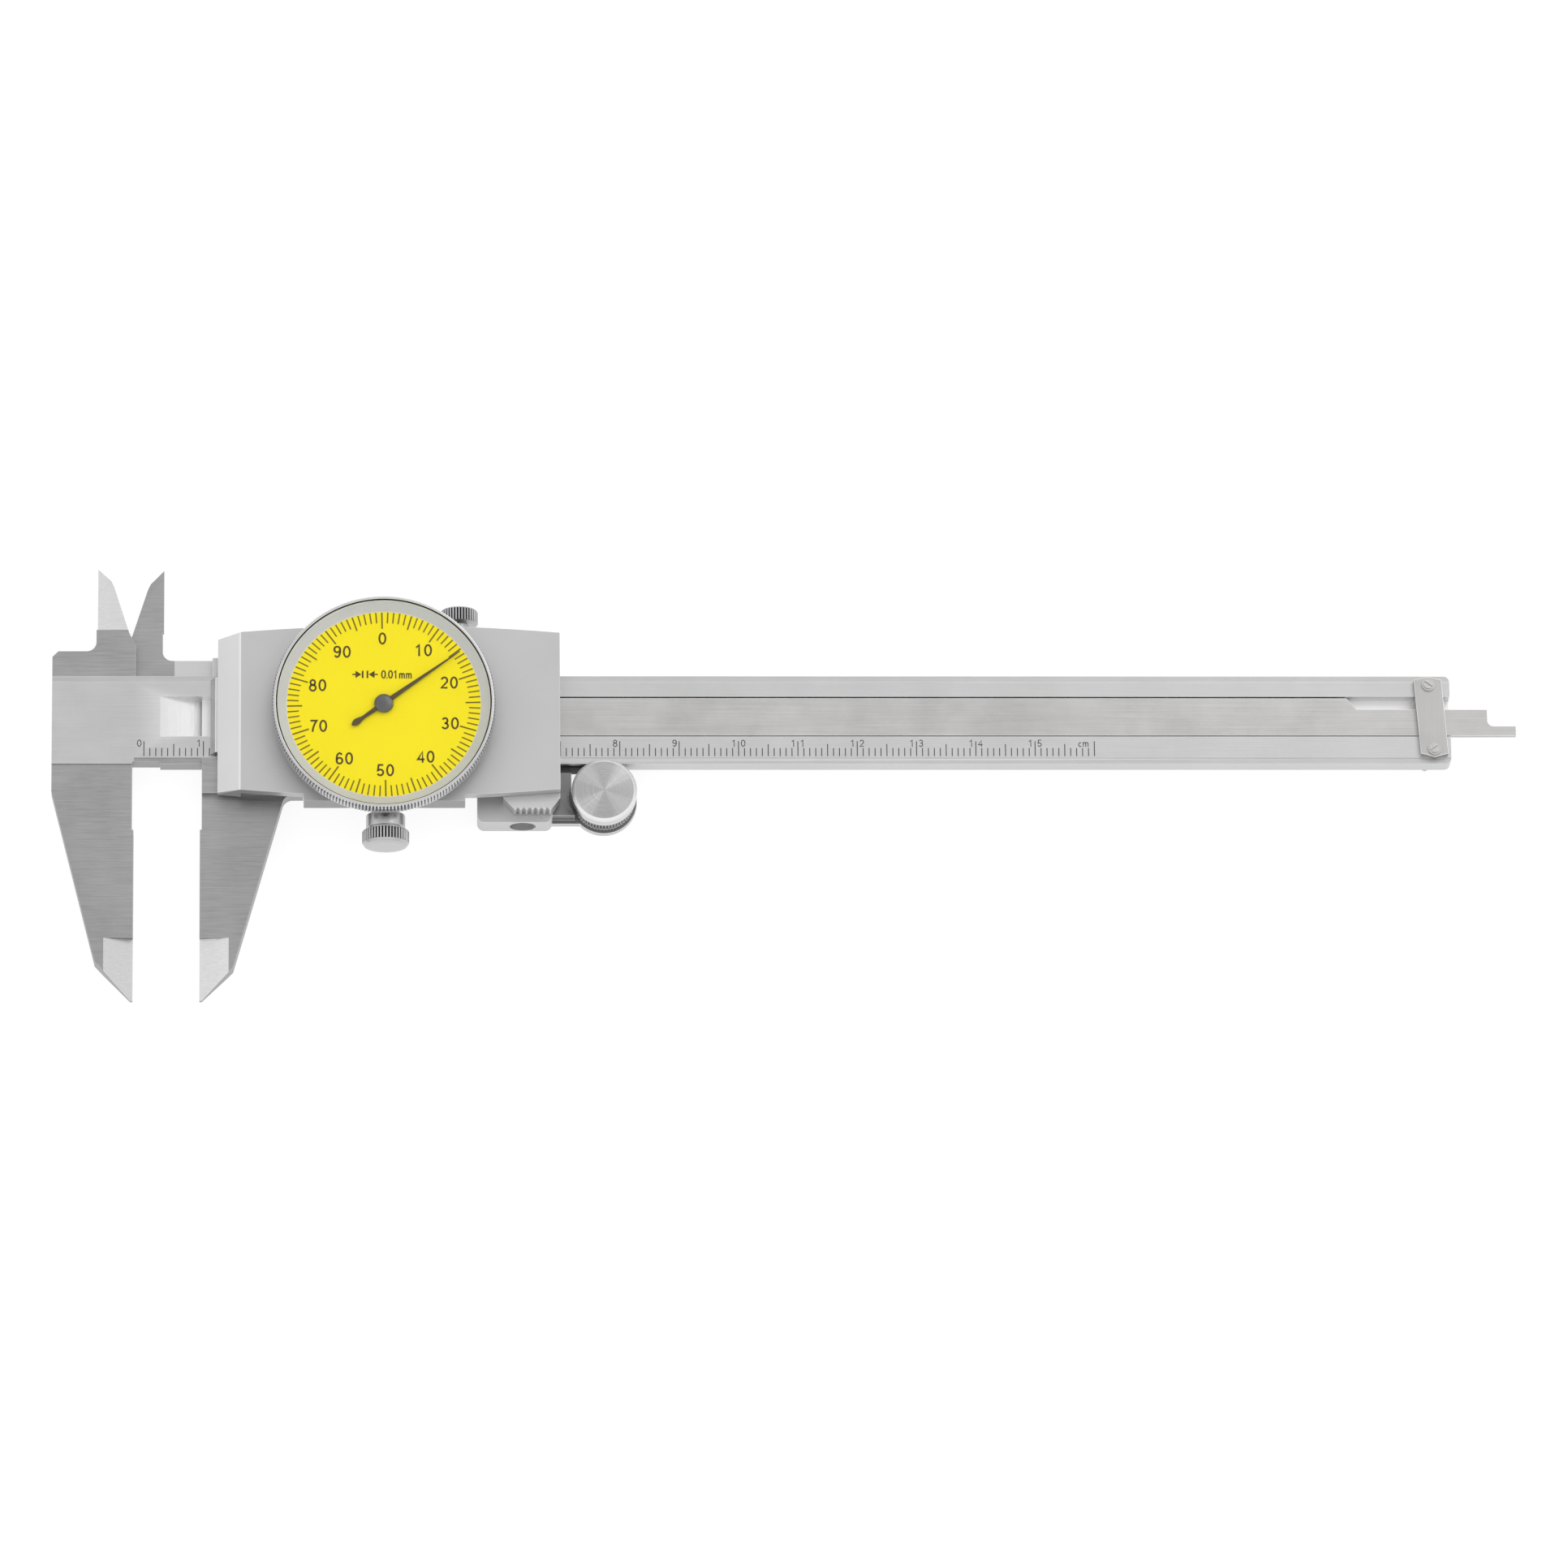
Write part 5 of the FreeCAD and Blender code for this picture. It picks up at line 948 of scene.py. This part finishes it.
def make_dial_print():
    """A hundred ticks, ten numerals and the small legend of one division, printed on the dial."""
    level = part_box("dial_face")[1].z + 0.01 * MM
    edge, numerals = 16.2 * MM, 11.6 * MM
    number = np.arange(100)
    length = np.where(number % 10 == 0, 2.9, np.where(number % 5 == 0, 2.5, 1.9)) * MM
    width = np.where(number % 5 == 0, 0.27, 0.24) * MM
    points, faces = bars(np.zeros(100), width, edge - length, np.full(100, edge))
    # the dial stands turned a third of a division to the left
    set_turn = math.radians(1.2)
    turn = np.repeat(set_turn - number / 100 * 2 * math.pi, 4)
    turned_points = np.column_stack(
        [points[:, 0] * np.cos(turn) - points[:, 1] * np.sin(turn),
         points[:, 0] * np.sin(turn) + points[:, 1] * np.cos(turn)]
    )
    ticks = Print()
    ticks.add(turned_points, faces)
    ticks.piece("dial_ticks", level, "bezel", "tick_ink", "dial_yellow", (dial_x, dial_y))
    signs = Print()
    for tens in range(10):
        angle = math.radians(36 * tens) - set_turn
        place = (numerals * math.sin(angle), numerals * math.cos(angle))
        signs.add(*lettering(str(10 * tens), 2.1 * MM, 0.32 * MM, 0.98, 0.16), place)
    height, tall = 5.25 * MM, 1.45 * MM
    signs.add(*lettering("0.01", tall, 0.24 * MM, 0.84, 0.06), (0.95 * MM, height))
    signs.add(*lettering("mm", tall, 0.22 * MM, 0.84, 0.1), (3.65 * MM, height))
    for side, centre in ((1, -3.55), (-1, -2.75)):
        tip, foot, end = centre - side * 0.22, centre - side * 1.2, centre - side * 1.75
        arrow = np.array([(tip, 0), (foot, 0.65), (foot, -0.65)]) * MM
        signs.add(arrow, [(0, 1, 2)[::side]], (0, height))
        shaft = np.array([(foot, -0.12), (foot, 0.12), (end, 0.12), (end, -0.12)]) * MM
        signs.add(shaft, [(0, 1, 2, 3)[::side]], (0, height))
        bar = np.array([(-0.15, -0.65), (0.15, -0.65), (0.15, 0.65), (-0.15, 0.65)]) * MM
        signs.add(bar, [(0, 1, 2, 3)], (centre * MM, height))
    signs.piece("dial_signs", level, "bezel", "print_black", "dial_yellow", (dial_x, dial_y))


def make_beam_scale():
    """Millimetre marks along the beam's lower edge, longer at each five and ten, with centimetre figures."""
    level = beam_front + 0.006 * MM
    count, width, foot = 161, 0.16 * MM, -6.43 * MM
    number = np.arange(count)
    top = np.where(number % 10 == 0, -3.8, np.where(number % 5 == 0, -4.3, -5.0)) * MM
    points, faces = bars(number * MM, np.full(count, width), np.full(count, foot), top)
    scale = Print()
    scale.add(points, faces)
    tall, weight, figure_y = 1.25 * MM, 0.15 * MM, -4.15 * MM
    for centimetre in range(0, 16):
        # one figure stands left of its mark, and two stand on both sides of it
        for figure, side in zip(str(centimetre), (-0.78, 0.78)):
            place = ((centimetre * 10 + side) * MM, figure_y)
            scale.add(*lettering(figure, tall, weight), place)
    scale.add(*lettering("cm", tall, weight), (158.2 * MM, figure_y))
    scale.piece("beam_scale", level, "beam", "scale_ink", "beam_steel", (zero_x + 1.7 * MM, beam_y))


def make_pointer():
    """Thin tapered hand with a drop-shaped tail, under a domed hub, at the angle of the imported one."""
    source = frame["nodes"]["pointer"].data
    spots = np.array([vertex.co[:2] for vertex in source.vertices]) - dial_centre[:2]
    tip = spots[np.argmax(np.hypot(*spots.T))]
    length = np.hypot(*tip)
    along = tip / length
    across = np.array([-along[1], along[0]])
    low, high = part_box("pointer")
    # half width at each place along the hand, from the tail's end to the tip
    side = np.array(
        [(-6.6, 0.08), (-6.2, 0.42), (-5.7, 0.6), (-5.2, 0.52), (-4.3, 0.28), (0, 0.44), (length / MM, 0.07)]
    ) * MM
    outline = np.concatenate([side, side[::-1] * (1, -1)])
    flat = outline[:, :1] * along + outline[:, 1:] * across + dial_centre[:2]
    points, faces = prism(flat, low.z, low.z + 0.15 * MM)
    blade = add_piece("hand_blade", points, faces, "hand", ["hand_black"])
    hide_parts("pointer")
    hub, dome = 1.62 * MM, 0.45 * MM
    turn = np.linspace(0, math.pi / 2, 9)
    cap = np.column_stack([hub * np.cos(turn), high.z - dome + dome * np.sin(turn)])
    profile = np.vstack([[(0, low.z), (hub, low.z)], cap])
    turned("hand_hub", profile, 64, "hand", ["hub_grey"], centre=dial_centre, smooth=45.0)


def prism(points, low, high, first=0):
    """Vertices and faces of an upright prism over an outline, its numbers starting at first."""
    count = len(points)
    spots = np.concatenate([np.column_stack([points, np.full(count, z)]) for z in (low, high)])
    faces = [tuple(range(first, first + count))[::-1], tuple(range(first + count, first + 2 * count))]
    for i in range(count):
        after = (i + 1) % count
        faces.append((first + i, first + after, first + after + count, first + i + count))
    return spots, faces


def slotted_heads(node, body, seat_round, head_round, seat_material, way=1):
    """Round slotted heads in place of a node's plain screws; way is -1 where the heads face down.

    A head is a full disc in its seat under two smaller round segments that leave the slot between them.
    """
    work = bmesh.new()
    work.from_mesh(frame["nodes"][node].data)
    bmesh.ops.remove_doubles(work, verts=work.verts, dist=2e-6)
    left = set(work.verts)
    centres = []
    while left:
        group, queue = [], [left.pop()]
        while queue:
            vertex = queue.pop()
            group.append(vertex.co.copy())
            for edge in vertex.link_edges:
                other = edge.other_vert(vertex)
                if other in left:
                    left.remove(other)
                    queue.append(other)
        spots = np.array(group)
        centres.append((spots.min(0) + spots.max(0)) / 2)
    work.free()
    low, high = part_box(node)
    head, floor, gap = 0.5 * MM, 0.22 * MM, 0.16 * MM
    outer = high.z if way > 0 else low.z
    levels = sorted([outer - way * head, outer - way * floor]), sorted([outer - way * floor, outer])
    turn = np.linspace(0, 2 * math.pi, 48, endpoint=False)
    disc = np.column_stack([np.cos(turn), np.sin(turn)]) * seat_round
    reach = math.asin(gap / head_round)
    arc = np.linspace(reach, math.pi - reach, 24)
    half = np.column_stack([np.cos(arc), np.sin(arc)]) * head_round
    points, faces, indices, count = [], [], [], 0
    for number, centre in enumerate(centres):
        # each slot stands turned another way, in radians
        angle = 0.6 + number * 1.9
        spin = np.array([(math.cos(angle), math.sin(angle)), (-math.sin(angle), math.cos(angle))])
        for outline, (bottom, top) in ((disc, levels[0]), (half, levels[1]), (-half, levels[1])):
            spots, added = prism(outline @ spin + centre[:2], bottom, top, count)
            points.append(spots)
            faces += added
            indices += [int(outline is not disc)] * len(added)
            count += len(spots)
    piece = add_piece(
        node + "_slotted", np.concatenate(points), faces, body, [seat_material, "screw_steel"],
        indices, close=False,
    )
    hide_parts(node)
    return piece


def lean_left(piece):
    """Shears a piece of the end plate so that its upper end lies a little nearer the jaws."""
    lean = 1.0 * MM
    low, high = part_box("end_plate")
    for vertex in piece.data.vertices:
        vertex.co.x -= lean * (vertex.co.y - low.y) / (high.y - low.y)


def finish_nodes():
    """Nodes that keep their own solids get their finish; four plain plates also get rounded corners."""
    for material, nodes in NODE_FINISH.items():
        for node in nodes:
            data = frame["nodes"][node].data
            data.materials.clear()
            data.materials.append(MATERIALS[material])
    for node, material, bevel in (
        ("depth_rod", "rod_steel", 0.06),
        ("end_plate", "plate_steel", 0.07),
        ("back_plate", "frame_steel", 0.12),
        ("movement_base", "base_steel", 0.06),
    ):
        piece = dressed_copy(node, [material], None, bevel)
        if node == "end_plate":
            lean_left(piece)


# Stage

def make_floor():
    """Wide white floor that keeps the object's soft shadow and shows near white elsewhere."""
    size = 3.0
    mesh = bpy.data.meshes.new("floor")
    level = cad_low.z - 0.02 * MM
    mesh.from_pydata(
        [(-size, -size, level), (size, -size, level), (size, size, level), (-size, size, level)],
        [], [(0, 1, 2, 3)],
    )
    floor = new_object("floor", mesh)
    tree, shader = new_material("floor_white")
    shader.inputs["Base Color"].default_value = (0.86, 0.86, 0.86, 1)
    shader.inputs["Roughness"].default_value = 0.9
    shader.inputs["Specular IOR Level"].default_value = 0.0
    glow = tree.nodes.new("ShaderNodeEmission")
    path = tree.nodes.new("ShaderNodeLightPath")
    seen = math_node(tree, "ADD", path.outputs["Is Camera Ray"], path.outputs["Is Glossy Ray"])
    seen = math_node(tree, "ADD", seen, path.outputs["Is Transmission Ray"])
    seen = math_node(tree, "MULTIPLY", math_node(tree, "MINIMUM", seen, 1.0), 0.7)
    glow.inputs["Strength"].default_value = 1.2
    blend_shaders(tree, seen, shader, glow)
    mesh.materials.append(MATERIALS["floor_white"])


def make_world():
    """Studio dome: calm overhead, brighter towards the sides, as large softboxes would give."""
    world = bpy.data.worlds.new("studio")
    bpy.context.scene.world = world
    world.use_nodes = True
    tree = world.node_tree
    tree.nodes.clear()
    output = tree.nodes.new("ShaderNodeOutputWorld")
    background = tree.nodes.new("ShaderNodeBackground")
    coordinates = tree.nodes.new("ShaderNodeTexCoord")
    parts = tree.nodes.new("ShaderNodeSeparateXYZ")
    ramp = tree.nodes.new("ShaderNodeValToRGB")
    tree.links.new(coordinates.outputs["Generated"], parts.inputs[0])
    tree.links.new(parts.outputs["Z"], ramp.inputs[0])
    stops = [(0.0, 0.75), (0.25, 1.05), (0.6, 1.1), (0.85, 0.9), (1.0, 0.85)]
    elements = ramp.color_ramp.elements
    while len(elements) < len(stops):
        elements.new(0.5)
    for element, (place, level) in zip(elements, stops):
        element.position = place
        element.color = (level, level, level, 1)
    tree.links.new(ramp.outputs[0], background.inputs["Color"])
    background.inputs["Strength"].default_value = 0.98
    tree.links.new(background.outputs[0], output.inputs["Surface"])


def make_lamps():
    """One broad softbox above and behind, so that edges and knurls have a lit and a shaded side."""
    lamp = bpy.data.lights.new("softbox", "AREA")
    lamp.shape = "RECTANGLE"
    lamp.size, lamp.size_y = 0.9, 0.6
    lamp.energy = 1.2
    holder = new_object("softbox", lamp)
    holder.location = (0.45, 0.5, 0.9)
    aim = Vector((0, 0, 0)) - holder.location
    holder.rotation_euler = aim.to_track_quat("-Z", "Y").to_euler()


def make_camera():
    """Long lens above the front edge, a little towards the jaws, with the beam level in the frame."""
    data = bpy.data.cameras.new("camera")
    camera = new_object("camera", data)
    bpy.context.scene.camera = camera
    distance = 2.0
    lean = math.radians(2.0)
    rise = math.radians(72.5)
    frame_width = 263.8 * MM
    target = Vector((-0.36 * MM, -0.4 * MM, beam_front))
    back = Vector((-math.sin(lean), -math.cos(rise) * math.cos(lean), math.sin(rise) * math.cos(lean)))
    right = Vector((1, 0, 0)) - back * back.x
    right.normalize()
    up = back.cross(right)
    turn = Matrix((right, up, back)).transposed().to_4x4()
    camera.matrix_world = Matrix.Translation(target + back * distance) @ turn
    data.sensor_width = 36.0
    data.lens = 36.0 * distance / frame_width
    data.clip_start, data.clip_end = 0.1, 20.0


make_camera()
finish_nodes()
finish_beam()
finish_frame()
finish_cover()
finish_bracket()
make_pointer()
lean_left(slotted_heads("end_plate_screws", "beam", 1.1 * MM, 0.75 * MM, "plate_steel"))
slotted_heads("back_plate_screws", "slider", 1.1 * MM, 1.05 * MM, "screw_steel", -1)
make_bezel()
make_knobs()
make_roller()
make_dial_print()
make_beam_scale()
make_floor()
make_world()
make_lamps()
bpy.context.scene.view_settings.view_transform = "Standard"
